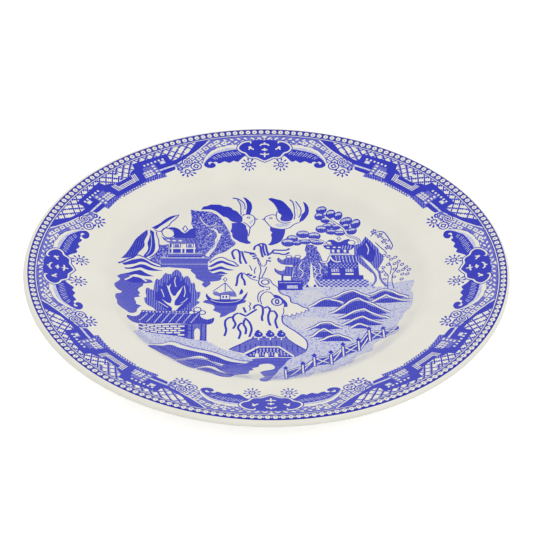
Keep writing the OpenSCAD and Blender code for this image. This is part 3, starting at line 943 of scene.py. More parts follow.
def willow(t):
    """The willow: hanging fronds, and a twisted trunk drawn in outline."""
    fronds = (
        (-7, 36.3, -6.3, 39.7, -4.7, 41, -3.3, 39.7, -3, 35.7, -2.3, 31, -2, 29.3),
        (-5, 41, -2.7, 42.3, -0.7, 41.7, 0, 39, 0.3, 35.7, 1, 32.3),
        (-18, 27.5, -19, 31, -19.3, 34.3, -18, 36.5, -16.3, 36.3, -15.3, 34, -15, 30, -15, 26,
         -14.3, 23.3),
        (-15, 34.5, -13.7, 34.7, -13.3, 31, -12.3, 27, -11.3, 23.3),
        (-12.7, 34.7, -10.7, 34, -7, 33),
        (-9.5, 32.3, -6, 32.5), (-8, 30, -5.5, 31), (-7.5, 28, -5, 29),
        (1, 28.5, 2.5, 28.7), (0.7, 26.5, 2.5, 25.5), (-1.8, 41.5, -1.6, 36, -0.6, 31),
        (0.3, 31, 3, 33.7, 4.3, 36.3, 8.3, 36, 11.7, 36.3, 13.3, 37.7),
        (3.7, 33.3, 7, 33, 9.7, 32, 11.7, 32.7, 13, 34),
        (-17.3, 2.7, -16.7, 6.3, -16.3, 11, -15.3, 13.7, -13.7, 15),
        (-13.7, 14.3, -14, 11, -12.7, 7.7, -12.3, 3.3),
        (-23.7, -41.3, -22.7, -36.3, -23.3, -31.7, -23, -27.7, -21, -25.3, -19.3, -25),
        (-19, -35, -17.7, -31, -19, -26.3, -18.3, -23, -16, -21.3),
        (-16, -43.7, -15, -38.3, -16.3, -34.3, -15.3, -31, -14, -30),
        (-12.3, -39.7, -12, -35, -13.3, -31, -12.7, -27),
        (-12.7, -25.7, -10.7, -28.3, -9.3, -32.3, -9, -36.3, -10, -41, -10.3, -42),
        (-15.5, -21.5, -12, -24, -9, -21, -6, -18), (-13.3, -16.3, -12, -21),
        (-7.7, -17.7, -7, -15, -5, -14, -3, -15.7, -2.7, -21.7, -3.3, -25, -3, -28.3),
        (-2, -17, 0, -15.7, 1.3, -18.3, 0.3, -23, 0.3, -28.3, 1.3, -32.3),
        (1.7, -19.7, 3.7, -19.7, 5, -23.7, 4, -28.3, 5, -34.7),
    )
    for frond in fronds:
        t.line(SOLID, 1.25, *frond)
    for x, y in ((-9, 12.5), (-7, 11), (-10.5, 13.5)):
        t.oval(SOLID, x, y, 1.2, 0.8, 30)
    outlines = (
        (-4.7, 28.3, -3.7, 24.3, -2.7, 21.3, -1.3, 21, -0.3, 23, 0.3, 27),
        (-5, 28.3, -4.7, 24.3, -3.7, 21, -3.3, 16.3, -4.2, 11.7, -4.3, 8.3, -4.7, 5.7, -3.7, 3,
         -1.7, 1.7),
        (0, 20.3, -1, 16.3, -2.3, 12.3, -3, 9.7),
        (-5, 9.7, -1, 10, 1.7, 8.3, 3, 5, 5.7, 1.7),
        (-5, 6.3, -3.7, 3.7, -1, 2, 1.3, 1.7, 1.3, 0, -1, -1),
        (-13, 15, -11, 12.3, -8.3, 9, -5, 7.7),
        (-5, -11.7, -5.3, -7, -4.3, -3, -1.7, -1),
        (-3.3, -13.7, -4, -8.3, -3, -5, -1, -2.7, 1.7, -3, 3.3, -5.7),
        (-9.7, 22, -8.9, 19.5, -8.3, 17), (-6, 20, -6.9, 17, -6.7, 14),
        (-10, -12, -9.2, -13.5, -10.2, -15.2, -9.4, -17, -10, -19),
    )
    for outline in outlines:
        t.line(SOLID, 0.6, *outline)
    t.ring(SOLID, CREAM, -1, 6.3, 2.1, 2.1, 0.75)
    t.patch(SOLID, 3.7, -5, 6, -5.7, 8.7, -9, 10.7, -12.3, 11, -15.7, 8.7, -16.3, 9, -13.7, 7.3, -11, 5,
        -8.3, 3.3, -6.7)
    t.ring(SOLID, CREAM, 5.3, -11.3, 3.0, 3.4, 0.8)
    t.oval(SOLID, 5.3, -11.3, 1.3, 2.4)
    t.oval(CREAM, 5.3, -11.3, 0.5, 1.2)


def right_ground(t):
    """The stippled bank at the right, from the pagoda's foot down to the fence."""
    shore = (6.7, -2.3, 8.3, -4.7, 11, -6, 12.7, -8.3, 13, -11.7, 16.3, -13.3, 19.7, -16.3, 22, -17.3,
             22.7, -19.7, 20.7, -19, 20, -21.3, 18.3, -20.3, 18, -22.7, 15.7, -21.3, 15, -24,
             13.3, -22.3, 12, -25, 10.3, -23, 9, -23.7, 8, -25, 7.7, -27, 8.3, -30.3, 11, -33.7,
             14.3, -37, 17.7, -41, 20, -44.3, 21, -48.3, 20.7, -51, 20, -53.7)
    t.patch(LIGHT, 7, 0.5, *shore, 17, -56.3, 13, -59.3, 9.7, -62.3, 7.7, -66.3, 5.3, -69.7, 4.3, -73, 2.3,
        -77.7, 1.7, -81.7, 1, -87, -0.3, -90, 3, -89, 8.3, -89, 12.3, -87, 17, -86.3, 21, -85, 22.3, -81,
        24.3, -76.3, 27, -75, 27.7, -79, 30.3, -80.3, 34.3, -79, 35.7, -75, 37.7, -73.7, 41.7, -71.7, 44.3,
        -69, 45.3, -64.3, 47, -61, 50.3, -59.3, 53.7, -59, 55.3, -56.3, 56, -52.3, 58.3, -48.3, 63, -45.7,
        68.3, -45, 70.3, -41.7, 69.7, -36.3, 70.7, -32.3, 73, -29, 74.3, -25, 77.7, -21.7, 79.3, -17, 80,
        -10.3, 79.3, -5, 80, -3, 81.3, 0.3, 81, 2.7, 75, 5, 70.3, 5, 68.3, 6.3, 57, 6.3, 56.3, 1.7, 29.7,
        1.3, 19.7, 1, 10.3, -0.7)
    t.line(SOLID, 0.7, 6, 1.7, *shore)
    t.line(SOLID, 0.5, 8.7, -17, 8.7, -21, 7.3, -25)
    t.patch(PALE, 24, -1, 30, -3, 33, -7, 29, -11, 24, -14, 17, -12, 16, -7, 19, -3)
    t.patch(PALE, 12, -28, 20, -25, 30, -26, 38, -29, 36, -33, 26, -33, 22, -36, 14, -35)


def mounds(t):
    """The banked mounds: a pale ridge above, a dark face below."""
    rows = (
        ((35.7, -8, 39, -6, 41.7, -3.7, 45, -2, 47.3, -1.3, 49.7, -2.7, 52.3, -4.7, 55, -6, 57.7, -8.3,
          59.3, -10),
         (37, -9.3, 39.7, -7.3, 42.3, -5, 45.7, -3.3, 47.7, -2.7, 50.3, -4.7, 53, -6.3, 55.7, -8.7,
          57.3, -10.7, 54.3, -10.3, 48.3, -9.3, 43, -14, 39.7, -10.7)),
        ((23, -15.7, 25.7, -13.7, 28.3, -11, 31.3, -9, 33.7, -8.3, 35.7, -9.7, 39, -10.7, 41.7, -12.3),
         (24.3, -16, 27, -13.7, 29.7, -11, 32.3, -10, 35, -10.3, 38.3, -11.7, 41.7, -14.3, 41, -15.7,
          35, -16)),
        ((56.3, -5, 59, -4, 61.7, -2, 64.3, -0.7, 67.3, -1, 69.7, -2.7, 72.3, -5.7, 75, -8, 77.3, -11),
         (56, -7.7, 59, -6, 62.3, -3.3, 65, -2, 67.7, -3, 70.3, -5, 73.7, -8.3, 77, -11, 68.3, -7.7,
          65.7, -5.7, 63, -7, 60, -9.3, 58, -8.7)),
        ((57.7, -11.3, 61, -8.7, 64.3, -6.3, 65.7, -5, 67.7, -7, 71, -9.3, 74.3, -12, 78.3, -14.3),
         (58.3, -12.5, 61, -10.3, 64.3, -8.3, 67, -8.3, 70.3, -10.3, 73.7, -12.7, 78.3, -15.7,
          71.7, -13, 65.7, -12.5)),
        ((33.7, -21.7, 37, -19.7, 40.3, -16.3, 43, -13.7, 45.7, -10.7, 48.3, -9, 50.3, -8.3, 52.3, -10,
          55, -11.7, 58.3, -13.7, 60.3, -15.7, 63.7, -18.3, 67, -21),
         (35.7, -22, 38.3, -20, 41.7, -17, 44.3, -14, 47.7, -11, 50.3, -10.3, 53, -11.3, 55.7, -14,
          58.3, -15.7, 61.7, -18.3, 65, -21.3, 66.3, -22, 60.3, -22.2, 57, -21.7, 54.3, -19,
          47.7, -19.7, 43, -22)),
        ((38.3, -26, 41.7, -24.3, 45, -21.7, 47.7, -19.7, 50.3, -18.7, 53, -17.7, 55, -19.7,
          57.7, -21.7, 61, -23.7, 64.3, -25, 66.3, -27),
         (39, -27, 43, -24.3, 46.3, -22.3, 50.3, -20.3, 53.7, -20, 57, -23, 61.7, -25.7, 65.7, -27,
          59, -27.1, 52, -25, 47, -26.3, 43, -27)),
        ((40.3, -31.7, 44.3, -29, 47.7, -26.3, 51.7, -24.3, 54.3, -26.3, 57.7, -28.3, 62.3, -30.3),
         (41, -32.3, 45, -29.7, 49, -27, 51.7, -26, 55, -28.3, 59, -30.3, 62.7, -32, 55, -32.3,
          49.7, -30.3, 45.7, -32.3)),
        ((44.7, -34.3, 47, -32.3, 49.7, -30.7, 51.7, -31.7, 54.3, -33),
         (45.7, -34.9, 47.7, -33, 50.3, -32, 53.7, -33.7, 54.3, -34.9)),
        ((21, -35.7, 23.7, -34.3, 26.3, -32.3, 28.3, -30.3, 31, -29.7, 33.7, -29.7, 36.3, -32,
          40.3, -34.3),
         (22.7, -35.3, 25.7, -33.3, 28.3, -31.7, 32.3, -31, 35, -32, 39, -35, 33, -35.8, 27, -35)),
        ((21.7, -42.3, 24.3, -41, 26.3, -38.3, 28.3, -36.3, 30.3, -35, 31.7, -36.3, 34.3, -38.3),
         (23.7, -42.3, 25.7, -40.3, 28.3, -38, 30.3, -37.3, 33.7, -39, 35.7, -40.3, 32.3, -41.7,
          29.7, -42.7)),
        ((27, -45.3, 29.7, -44, 32.3, -42, 35, -41, 37.7, -40.3, 40.3, -41.7, 43, -43, 45, -45),
         (29, -45.8, 32.3, -43.3, 36.3, -42, 39, -42, 41.7, -43.3, 44.7, -45.8)),
    )
    for ridge, face in rows:
        for ink, width in ((SOLID, 2.3), (CREAM, 1.2)):
            t.line(ink, width, *ridge)
        t.patch(DARK, *face)


def fence(t):
    """The zigzag fence, drawn pale over a dark hatch."""
    # each post's place, its top, its foot and the point of its cap
    posts = (
        (8.7, -70.3, -87.7, -67.7), (17.9, -65.7, -77, -63.7), (24.2, -59.3, -68.3, -57),
        (33.2, -57, -67.7, -54.3), (39.9, -50.3, -60, -47.7), (48.4, -45.7, -56, -43.7),
        (54.6, -36.3, -47, -34.3), (62.2, -37, -46.3, -34.7),
    )
    end = (70.3, -36.3, -41.7, 0)
    for post, following in zip(posts, posts[1:] + (end,)):
        x, top, foot, _ = post
        next_x, next_top, next_foot, _ = following
        t.plain(DARK, x, top - 1.2, next_x, next_top - 1.2, next_x, next_foot + 1.2, x, foot + 1.2)
    rails = (
        (9.3, -72, 17.5, -67.5), (18.7, -67, 24, -61), (25, -60.3, 32.7, -58.3), (34, -58.5, 39.3, -52),
        (40.7, -51.5, 47.7, -47.3), (49.3, -47, 54, -38), (55.3, -37.7, 61.7, -38.3),
        (63, -38.3, 69, -37.7),
    )
    crosses = (
        (11, -78.3, 17, -68.3), (18.7, -70.3, 23, -62.3), (25, -60.3, 31.7, -65), (25.3, -65.7, 32, -59.7),
        (34.3, -63, 38.7, -53.7), (41, -51.3, 47, -55.3), (41, -56.3, 47.7, -49),
        (49.3, -53, 53.7, -43), (55.3, -37.7, 61.7, -44.3), (55.7, -44.3, 61, -38.3),
        (63, -38.3, 68.3, -41.7), (63.3, -44.3, 69, -37.7),
    )
    for ink, width in ((SOLID, 1.7), (CREAM, 0.75)):
        for rail in rails + crosses:
            t.line(ink, width, *rail, flowing=False)
    for x, top, foot, tip in posts:
        t.block(SOLID, x - 1.05, foot, x + 1.05, top + 0.4)
        t.plain(SOLID, x, tip + 1.2, x + 1.5, tip - 0.9, x, tip - 2.6, x - 1.5, tip - 0.9)
        t.block(CREAM, x - 0.5, foot + 0.6, x + 0.35, top)


def bridge(t):
    """The bridge with its balustrade, and three small bundles crossing it."""
    deck = (-21.3, -52.7, -18.3, -50.3, -14.3, -47.7, -10.7, -44.7, -8.3, -43.3, 9.7, -43, 14.3, -48.3,
            17.7, -51.3, 20.3, -53.7)
    t.plain(MID, *deck, 19.7, -55, 17, -57, 14, -59, 12.7, -58.3, 9.7, -55, 6, -50.3, -5.7, -50.2, -9,
        -52.3, -13.3, -56, -15, -55.3, -18.3, -54.3)
    t.line(SOLID, 0.7, *deck, flowing=False)
    for i in range(12):
        x = -15.4 + 2.8 * i
        rise = min(4.6, max(0, 9 - abs(x - 0.5)) * 0.9 + 1.2)
        foot = -50.2 if abs(x) < 6 else -51.5 - 0.4 * abs(x - 0.4) / 2
        t.line(SOLID, 0.55, x, -45.4 - 4.6 + rise, x, foot, flowing=False)
    t.plain(SOLID, -12.7, -57, -5, -51, 5.3, -51, 13, -59, -10.5, -59)
    for row, y in enumerate((-52.4, -54.0, -55.6, -57.2)):
        half = 4.6 + 1.75 * row
        count = round(2 * half / 1.7)
        for i in range(count + 1):
            t.oval(CREAM, -half + 2 * half * i / count + 0.2, y, 0.55, 0.5, sides=6)
    for x in (-6.3, -1.2, 4.0):
        t.line(SOLID, 2.9, x, -59.2, x, -56.4, flowing=False)
        t.patch(CREAM, x - 1.0, -59, x - 0.9, -56.6, x, -55.4, x + 0.9, -56.6, x + 1.0, -59)
    t.line(CREAM, 1.0, -13, -56, -5.7, -50.3, 5.7, -50.3, 13.3, -58.3, flowing=False)
    for x in (-5.3, 1.0, 7.0):
        t.oval(SOLID, x, -40.0, 2.4, 2.3)
        t.oval(SOLID, x - 0.2, -37.0, 1.0, 0.9)
        t.line(SOLID, 0.8, x - 1.8, -37.6, x + 1.6, -38.2)
        t.line(SOLID, 0.9, x - 2.6, -41.5, x - 3.2, -43.2)
        t.line(SOLID, 0.9, x + 2.2, -41.5, x + 3.0, -43.2)
        t.line(CREAM, 0.8, x, -42.4, x, -44.6)
        t.oval(CREAM, x + 0.6, -39.4, 0.6, 0.5, sides=6)


def gatehouse(t):
    """The tiled roof, the brick wall and the gate tower."""
    t.block(SOLID, -69, -21.5, -41.7, -19.2)
    for i in range(15):
        t.oval(CREAM, -67.9 + 1.8 * i, -20.3, 0.62, 0.5, sides=6)
    t.patch(DARK, -69.3, -21.3, -70.3, -24.3, -73, -27, -76, -27.7, -76, -30.3, -74.7, -32.7, -72, -33.5,
        -69.7, -32.7, -65, -31.3, -55, -30.3, -44.3, -30.7, -33, -31.3, -30.7, -30.3, -29.3, -27.7, -29.3,
        -25.3, -31, -26.3, -33, -27, -35.3, -26, -36.7, -24.3, -37, -21.7, -38, -20.3, -40, -21.7)
    t.line(SOLID, 0.9, -76, -28.3, -75.6, -31, -72, -32.9, -65, -30.9, -55, -29.9, -44.3, -30.3, -33, -30.9,
        -30.4, -29.6, -29.6, -26.5)
    for i in range(8):
        x = -65.7 + 4 * i
        t.line(LIGHT, 0.55, x, -21.8, x - 2.2, -26, x - 4.2, -29.8)
    for x, y, r in ((-41.7, -20.9, 1.6), (-38.5, -18.3, 2.0), (-35.7, -20.9, 1.7)):
        t.ring(SOLID, CREAM, x, y, r, r, 0.6)
    t.plain(SOLID, -70, -32.2, -44, -31, -44.3, -43, -49.7, -41, -56.3, -40, -61.7, -39.8, -67, -40.3,
        -69.7, -41.7)
    for row in range(5):
        y = -32.8 - 1.85 * row
        for column in range(7):
            x = -68 + 4.2 * column + (row % 2) * 2.0
            if x > -45.8 or (row == 4 and -66 < x < -50):
                continue
            t.block(CREAM, x - 1.75, y - 0.62, x + 1.75, y + 0.65)
    t.plain(MID, -44, -30.7, -33.3, -30.7, -33.3, -45.7, -36.8, -45, -44, -43.3)
    for y in (-33.5, -36.5, -39.5, -42.3):
        t.line(SOLID, 0.5, -43.8, y, -39.9, y, flowing=False)
    t.patch(CREAM, -39.8, -44.4, -39.8, -36, -38.4, -34.5, -37, -36, -37, -44.6)
    for x, foot in ((-33.7, -45.5), (-36.2, -45), (-41.3, -43.9), (-43.8, -43.3)):
        t.line(SOLID, 0.8, x, -31, x, foot, flowing=False)


def large_tree(t):
    """The broad tree with pointed leaf masses behind the gatehouse."""
    t.patch(LEAF, -50.7, 18, -52.3, 16.3, -53.3, 13.7, -55.7, 14, -56.7, 15, -58, 12.3, -58.7, 10.3, -60,
        8.3, -61.3, 9.7, -62.3, 7.7, -62.7, 3.7, -63, -1, -65, 0.3, -66.3, 1.7, -67.3, -0.3, -67, -4.3,
        -66.7, -7, -68, -8, -67.3, -11.7, -65.7, -14.3, -63, -16.3, -60.3, -19.3, -41.7, -19.3, -41, -17,
        -39, -14.3, -37, -11.7, -39, -10.3, -37.7, -7.7, -37, -5, -37.1, -2.3, -39, -2.7, -39.7, 0, -40,
        3.7, -40.7, 6, -42, 5, -42.7, 8.3, -44, 11.7, -45.3, 12, -46.3, 10.3, -47.3, 12.3, -48, 15, -49.3,
        17)
    t.patch(SOLID, -51.5, 12.5, -49.5, 12, -48, 7, -47, 10, -45.5, 6, -44, 3, -43, -2, -42, -6, -42, -10,
        -44, -14, -46, -17.5, -49.5, -19.3, -53, -19.3, -56, -17.5, -59, -13, -61.5, -9, -62, -4, -60, -1,
        -60, 4, -58.5, 2, -57.5, 6.5, -55.5, 5, -54, 9)
    t.patch(CREAM, -52.7, -19.3, -52.3, -17, -53.7, -15, -55, -13.7, -58.7, -8.3, -55, -12, -53.3, -12.7,
        -52.7, -9.3, -53.7, -5, -54.7, -1, -55.7, 3, -56.5, 4.8, -54.9, 2.5, -53.3, 5, -54, 1, -53.3, -3,
        -52, -6, -50.7, -6, -49.7, -3, -48.3, -0.3, -46.7, 3, -47.3, 0.3, -48, -3, -48.7, -5, -49.7, -7.7,
        -51, -11, -51, -14.3, -49, -14.7, -45.7, -12.3, -48.3, -15.7, -49.7, -18.3, -50.3, -19.3)
    for path in (
        (-51, 11, -51.4, 7, -50.6, 2), (-58.8, 0, -57.6, -4, -57, -7), (-46, 3, -45.4, -3, -46, -7),
        (-60, -11, -57, -14, -54.5, -16.5), (-44, -8, -45.8, -11, -47.6, -12.6),
    ):
        t.line(CREAM, 0.5, *path)


def boat(t):
    """The small covered boat on its patch of water."""
    t.patch(WATER, -35.7, -11.7, -33.7, -9.7, -11.7, -10, -12.3, -12, -16.3, -14, -17, -17, -18, -19.7, -21,
        -21.7, -23, -23.7, -26.3, -25.3, -25.7, -21.7, -30, -19, -29, -16.3, -30, -14.3, -33.7, -12.7)
    t.patch(SOLID, -33.7, -3.7, -34, -6, -33.3, -8.7, -31, -11.7, -28.3, -14.3, -23, -15, -16.3, -13.7,
        -13.7, -11, -11.7, -7, -10.7, -2.3, -12.3, -5, -14, -8, -16.3, -9, -25.7, -9.3, -29.7, -9, -32, -7)
    t.line(CREAM, 0.5, -31.4, -9.4, -28.6, -11.2, -23, -12, -17, -11, -13.6, -8)
    t.patch(MID, -30, -2.7, -28.3, -2, -26.3, -3.7, -24.3, -2.7, -19.7, -2, -17.3, -4.3, -17, -7, -20.3,
        -6.7, -20.7, -4.7, -25.7, -4.7, -26.3, -6.7, -29.7, -5)
    t.block(SOLID, -26.2, -9.2, -20.5, -4.6)
    t.block(CREAM, -25.6, -9.0, -21, -5.2)
    for x in (-24.4, -22.6):
        t.block(SOLID, x - 0.45, -8, x + 0.45, -6)
    t.patch(SOLID, -14.3, 0.3, -13.3, -1.7, -14, -4.3, -15.7, -5, -15, -1.7)
    t.line(SOLID, 0.6, -23.3, 10.7, -22.3, 8.7, -23.3, 6.7, -24.3, 8.7, closed=True, flowing=False)
    for x, y in ((-30, -2), (-17.7, -3.7), (-23.3, -2)):
        t.line(SOLID, 0.5, -23.3, 5.8, x, y, flowing=False)


def left_ground(t):
    """The light strip below the wall, and the banked hills under it."""
    t.patch(LIGHT, -70.3, -42.3, -72.3, -45, -70, -49.7, -67.7, -53, -64.7, -56.3, -63, -53.7, -59, -51.3,
        -55.7, -49, -53.7, -47, -51, -46.7, -48.3, -48.3, -44.3, -50.3, -39.7, -52.3, -33.7, -53.7, -28.3,
        -56.3, -23, -59, -18.3, -61.7, -11.7, -63.3, -8.3, -61.7, -10.3, -59.7, -13, -57.3, -18.3, -54.7,
        -21.7, -53.7, -26.3, -51.3, -27.7, -49.7, -31, -47, -33.3, -45.5, -40, -43.5, -49.7, -41, -56.3,
        -40, -61.7, -39.8, -67, -40.3)
    t.line(SOLID, 0.5, -64, -55, -60, -51.8, -55.7, -48.4, -53, -46.2, -50, -46.2, -44.3, -49.3, -37, -52,
        -28.3, -55.3, -18.3, -60.7, -9, -62.7)
    t.patch(DARK, -64, -59, -62.3, -56.3, -59.7, -53.7, -56.3, -51.7, -53.7, -49.7, -51, -49.7, -48.3,
        -51.3, -43, -53, -37, -55, -31.7, -56.7, -27, -59, -23, -61.7, -18.3, -63.3, -12.3, -64.3, -21.7,
        -65.7, -25, -65, -29.7, -62.7, -33, -60, -35.7, -58.3, -39, -58.7, -42.3, -60.7, -45.7, -63.7,
        -48.3, -67, -50.3, -70.3, -53, -67.7, -56.3, -65.7, -60.3, -62.3, -63.7, -60.3)
    t.patch(DARK, -49, -72.3, -48.3, -69.7, -45.7, -66.3, -42.3, -63, -38.3, -61.3, -35, -61.7, -32.3,
        -62.3, -28.3, -65.7, -25, -67.7, -20.3, -69.7, -26.3, -72.3, -28.3, -69.7, -31.7, -68.3, -34.3,
        -69.7, -36.3, -72.3, -37.7, -76.3, -39, -78.7, -41.7, -78.3, -45, -76, -48.3, -73)
    t.patch(DARK, -38.3, -79.7, -37, -76.3, -35, -73, -33, -71, -30.3, -71.7, -27.7, -74.3, -25, -77, -22.3,
        -79, -18.3, -78.3, -19, -83, -20.3, -86, -23.7, -86.7, -26.3, -86, -30.3, -83, -35, -80.7)
    t.line(SOLID, 0.6, -49.9, -72, -48.9, -69, -46.2, -65.6, -42.6, -62.2, -38.4, -60.5, -34.8, -61, -31.9,
        -61.5, -27.9, -65, -24.4, -67.1, -19.7, -69.2)


def pines(t):
    """The rounded pine clumps on their bare branches."""
    for branch in (
        (32.3, 69.3, 35.7, 65.7, 38.3, 63, 41, 60.3, 43.7, 57.7, 45.3, 55, 46.3, 51.7, 48.3, 49,
         51, 47.7, 53, 45.7, 53.3, 43),
        (18.3, 46, 23.7, 46, 28.3, 46.7, 31.3, 45.3, 33.7, 43, 35, 40.3),
    ):
        t.line(MID, 1.7, *branch)
    clumps = (
        (32.5, 71.5, 2.8, 2.1), (31, 67.5, 2.3, 2.6), (37.7, 68, 2.5, 2.6), (34.7, 64.3, 2.5, 2.2),
        (42, 66, 2.2, 2.4), (46.3, 61.3, 3.3, 2.5), (46, 57.7, 2.1, 2.3), (51.7, 58.3, 2.6, 2.8),
        (49.5, 53.5, 2.5, 2.5), (40.7, 58.2, 2.4, 2.3), (35.7, 59, 2.8, 2.4), (32, 56.3, 3, 3.3),
        (37.7, 53.7, 3, 2.4), (42.3, 52.3, 2.8, 2), (15, 47, 3, 3.2), (12.5, 43.3, 3.5, 3.5),
        (21.3, 51.3, 3.6, 3.3), (27.7, 49.7, 3.4, 3.3), (22.3, 44, 3.2, 1.9), (29.3, 43.3, 3.3, 1.9),
        (17.5, 42.8, 2.4, 2),
    )
    for x, y, rx, ry in clumps:
        t.oval(SOLID, x, y, rx + 0.35, ry + 0.35)
        t.oval(LIGHT, x, y + 0.25 * ry, rx - 0.35, 0.55 * ry)
        t.patch(DARK, x - rx + 0.2, y + 0.3 * ry, x - 0.5 * rx, y + 0.1 * ry, x, y + 0.25 * ry,
            x + 0.5 * rx, y + 0.1 * ry, x + rx - 0.2, y + 0.3 * ry, x + rx - 0.1, y - 0.2 * ry,
            x + 0.6 * rx, y - 0.85 * ry, x, y - ry, x - 0.6 * rx, y - 0.85 * ry, x - rx + 0.1, y - 0.2 * ry)
    for branch in (
        (34.5, 67, 38.3, 63, 41, 60.3, 43.7, 57.7, 45.3, 55, 46.3, 51.7, 48.3, 49, 51, 47.7, 53, 45.7,
         53.3, 43),
        (18.3, 46.4, 23.7, 46.8, 28.3, 46.7, 31.3, 45.3, 33.7, 43, 35, 40.3),
    ):
        t.line(CREAM, 0.75, *branch)


def pagoda(t):
    """The two-roofed pagoda, its patterned walls and its chequered base."""
    t.plain(SOLID, 36.7, 31.4, 51.3, 31.4, 51.7, 24, 51.7, 12.7, 34.3, 12.7, 34.3, 24, 36, 27)
    t.plain(DARK, 38, 31, 51, 31, 51.3, 24.2, 39, 24.2)
    for i in range(7):
        t.line(LIGHT, 0.5, 39.2 + 1.9 * i, 30.8, 38.2 + 1.9 * i + 1.6, 24.4, flowing=False)
    t.patch(SOLID, 35, 45.3, 36.7, 46, 39, 45.7, 40.7, 44, 42, 43.8, 43.3, 44.7, 45, 46, 47.3, 46.9, 48.3,
        46, 47.3, 45.3, 46.2, 43.3, 47, 41.7, 48, 41, 37.7, 40.7, 37.3, 43, 36.3, 44.7)
    t.ring(SOLID, CREAM, 36, 43, 1.5, 1.5, 0.5)
    t.ring(SOLID, CREAM, 48.7, 43.3, 2.2, 2.2, 0.5)
    t.line(SOLID, 0.6, 41.7, 49, 42.7, 47.3, 41.7, 45, 40.7, 47.3, closed=True, flowing=False)
    t.patch(SOLID, 32.3, 40.7, 33.7, 37.7, 36, 36.7, 47.7, 36.3, 49.7, 38.3, 51, 41, 48, 40.9, 37, 40.9)
    for x in (35.3, 38.8, 41.7):
        t.oval(CREAM, x, 38.8, 1.0, 0.7)
    for i in range(4):
        t.line(LIGHT, 0.4, 44 + 1.5 * i, 40.5, 43.2 + 1.5 * i, 37, flowing=False)
    t.block(DARK, 36.3, 33, 47, 37)
    for x in (38, 41, 44.7):
        t.block(CREAM, x - 0.7, 33.9, x + 0.7, 36.6)
    t.block(LIGHT, 35.5, 31.5, 48.3, 33)
    for ink, width in ((SOLID, 2.0), (CREAM, 1.0)):
        t.line(ink, width, 30.3, 25.7, 32.3, 24.3, 34.3, 25, 35.3, 27, 36, 30.3, 36.7, 28.3, 37.7, 26.3,
            39.7, 25, 42, 25.7)
    for row in range(3):
        for column in range(8):
            x, y = 36 + 2.0 * column + (row % 2), 22.9 - 1.5 * row
            t.plain(LIGHT, x - 0.55, y, x, y + 0.55, x + 0.55, y, x, y - 0.55)
    t.block(LIGHT, 36.3, 15.7, 40.6, 18.6)
    t.block(LIGHT, 44.3, 15.7, 48.6, 18.6)
    for x in (37.2, 38.6, 40, 45.2, 46.6, 48):
        t.block(DARK, x - 0.25, 15.9, x + 0.25, 18.4)
    t.block(CREAM, 36.3, 13, 41, 14.5)
    t.block(CREAM, 44, 13, 48.7, 14.5)
    t.block(SOLID, 31, 8.3, 54, 12.7)
    t.block(LIGHT, 29.7, 1.7, 56.7, 8.6)
    side = 1.35
    for row in range(5):
        for column in range(20):
            if (row + column) % 2:
                continue
            x, y = 29.7 + side * column, 1.8 + side * row
            t.block(SOLID, x, y + side, x + side, y)


def cypress(t):
    """The dense dark tree in front of the pagoda, with its pale trunk."""
    t.patch(SCRIBBLE, 23, 41.7, 27, 41, 27.3, 39.7, 29, 39.7, 29, 36.3, 30.3, 33, 31.3, 27.7, 32.3, 24.3,
        34.3, 20, 34.5, 12, 33.5, 2, 28, 2, 19.7, 1.7, 15, 6, 14, 9, 15, 15, 15, 23, 20.3, 27.7, 21.7, 29.7,
        22.7, 32.3, 22, 36.3)
    t.patch(CREAM, 24.9, 25.5, 25.7, 21, 26.0, 12, 27.0, 6, 28.8, 1.8, 19.8, 1.8, 22.6, 5.4, 24.0, 10, 24.4,
        17)
    for x in (22.3, 26.6):
        t.patch(SOLID, x - 0.9, 1.8, x - 0.6, 3.6, x, 4.3, x + 0.6, 3.6, x + 0.9, 1.8)
    t.line(CREAM, 0.6, 26.2, 21, 27.6, 18.3, 26.4, 15.7, 28.3, 13.7, 26.8, 9.7, 28.4, 6.3, 30.2, 3)
    t.line(CREAM, 0.5, 29.3, 24, 30.6, 20, 29.8, 16, 31.2, 12)
    t.line(CREAM, 0.5, 20, 25, 18.2, 20, 20.4, 15, 18.4, 10)


def pavilion(t):
    """The small pavilion left of the dense tree."""
    t.patch(MID, 7, 29, 6.3, 27, 7.3, 24.7, 9.3, 23, 15, 22.7, 19.7, 26.3, 19.3, 28, 17, 29.4, 11, 28.6,
        9.3, 26.7, 8, 27.7)
    t.line(SOLID, 0.7, 7, 29, 6.3, 27, 7.3, 24.7, 9.3, 23, 15, 22.7, 19, 25)
    for i in range(5):
        t.line(SOLID, 0.6, 10.6 + 1.8 * i, 28.4, 10.2 + 1.8 * i, 23.4, flowing=False)
    for x in (12.7, 17.7):
        t.ring(SOLID, CREAM, x, 30, 1.6, 1.3, 0.5)
    t.patch(MID, 4.7, 19, 5, 16.3, 6.7, 14, 9, 12.7, 14.3, 12.7, 15, 20.3, 10.7, 21, 10, 17.7, 7.7, 16.7,
        5.7, 17.7)
    t.line(SOLID, 0.8, 4.7, 19, 5, 16.3, 6.7, 14, 9, 12.7, 14.3, 12.7)
    for i in range(3):
        t.line(SOLID, 0.6, 10.8 + 1.7 * i, 20.4, 10.4 + 1.7 * i, 13.4, flowing=False)
    t.block(SOLID, 8.1, 7.6, 14, 12.7)
    t.block(CREAM, 9.2, 7.9, 13.4, 12)
    t.block(SOLID, 6, -1, 19.7, 7.7)
    t.block(LIGHT, 11, 0.5, 17, 3.3)
    t.line(LIGHT, 0.5, 6.6, 5.8, 19, 5.8, flowing=False)


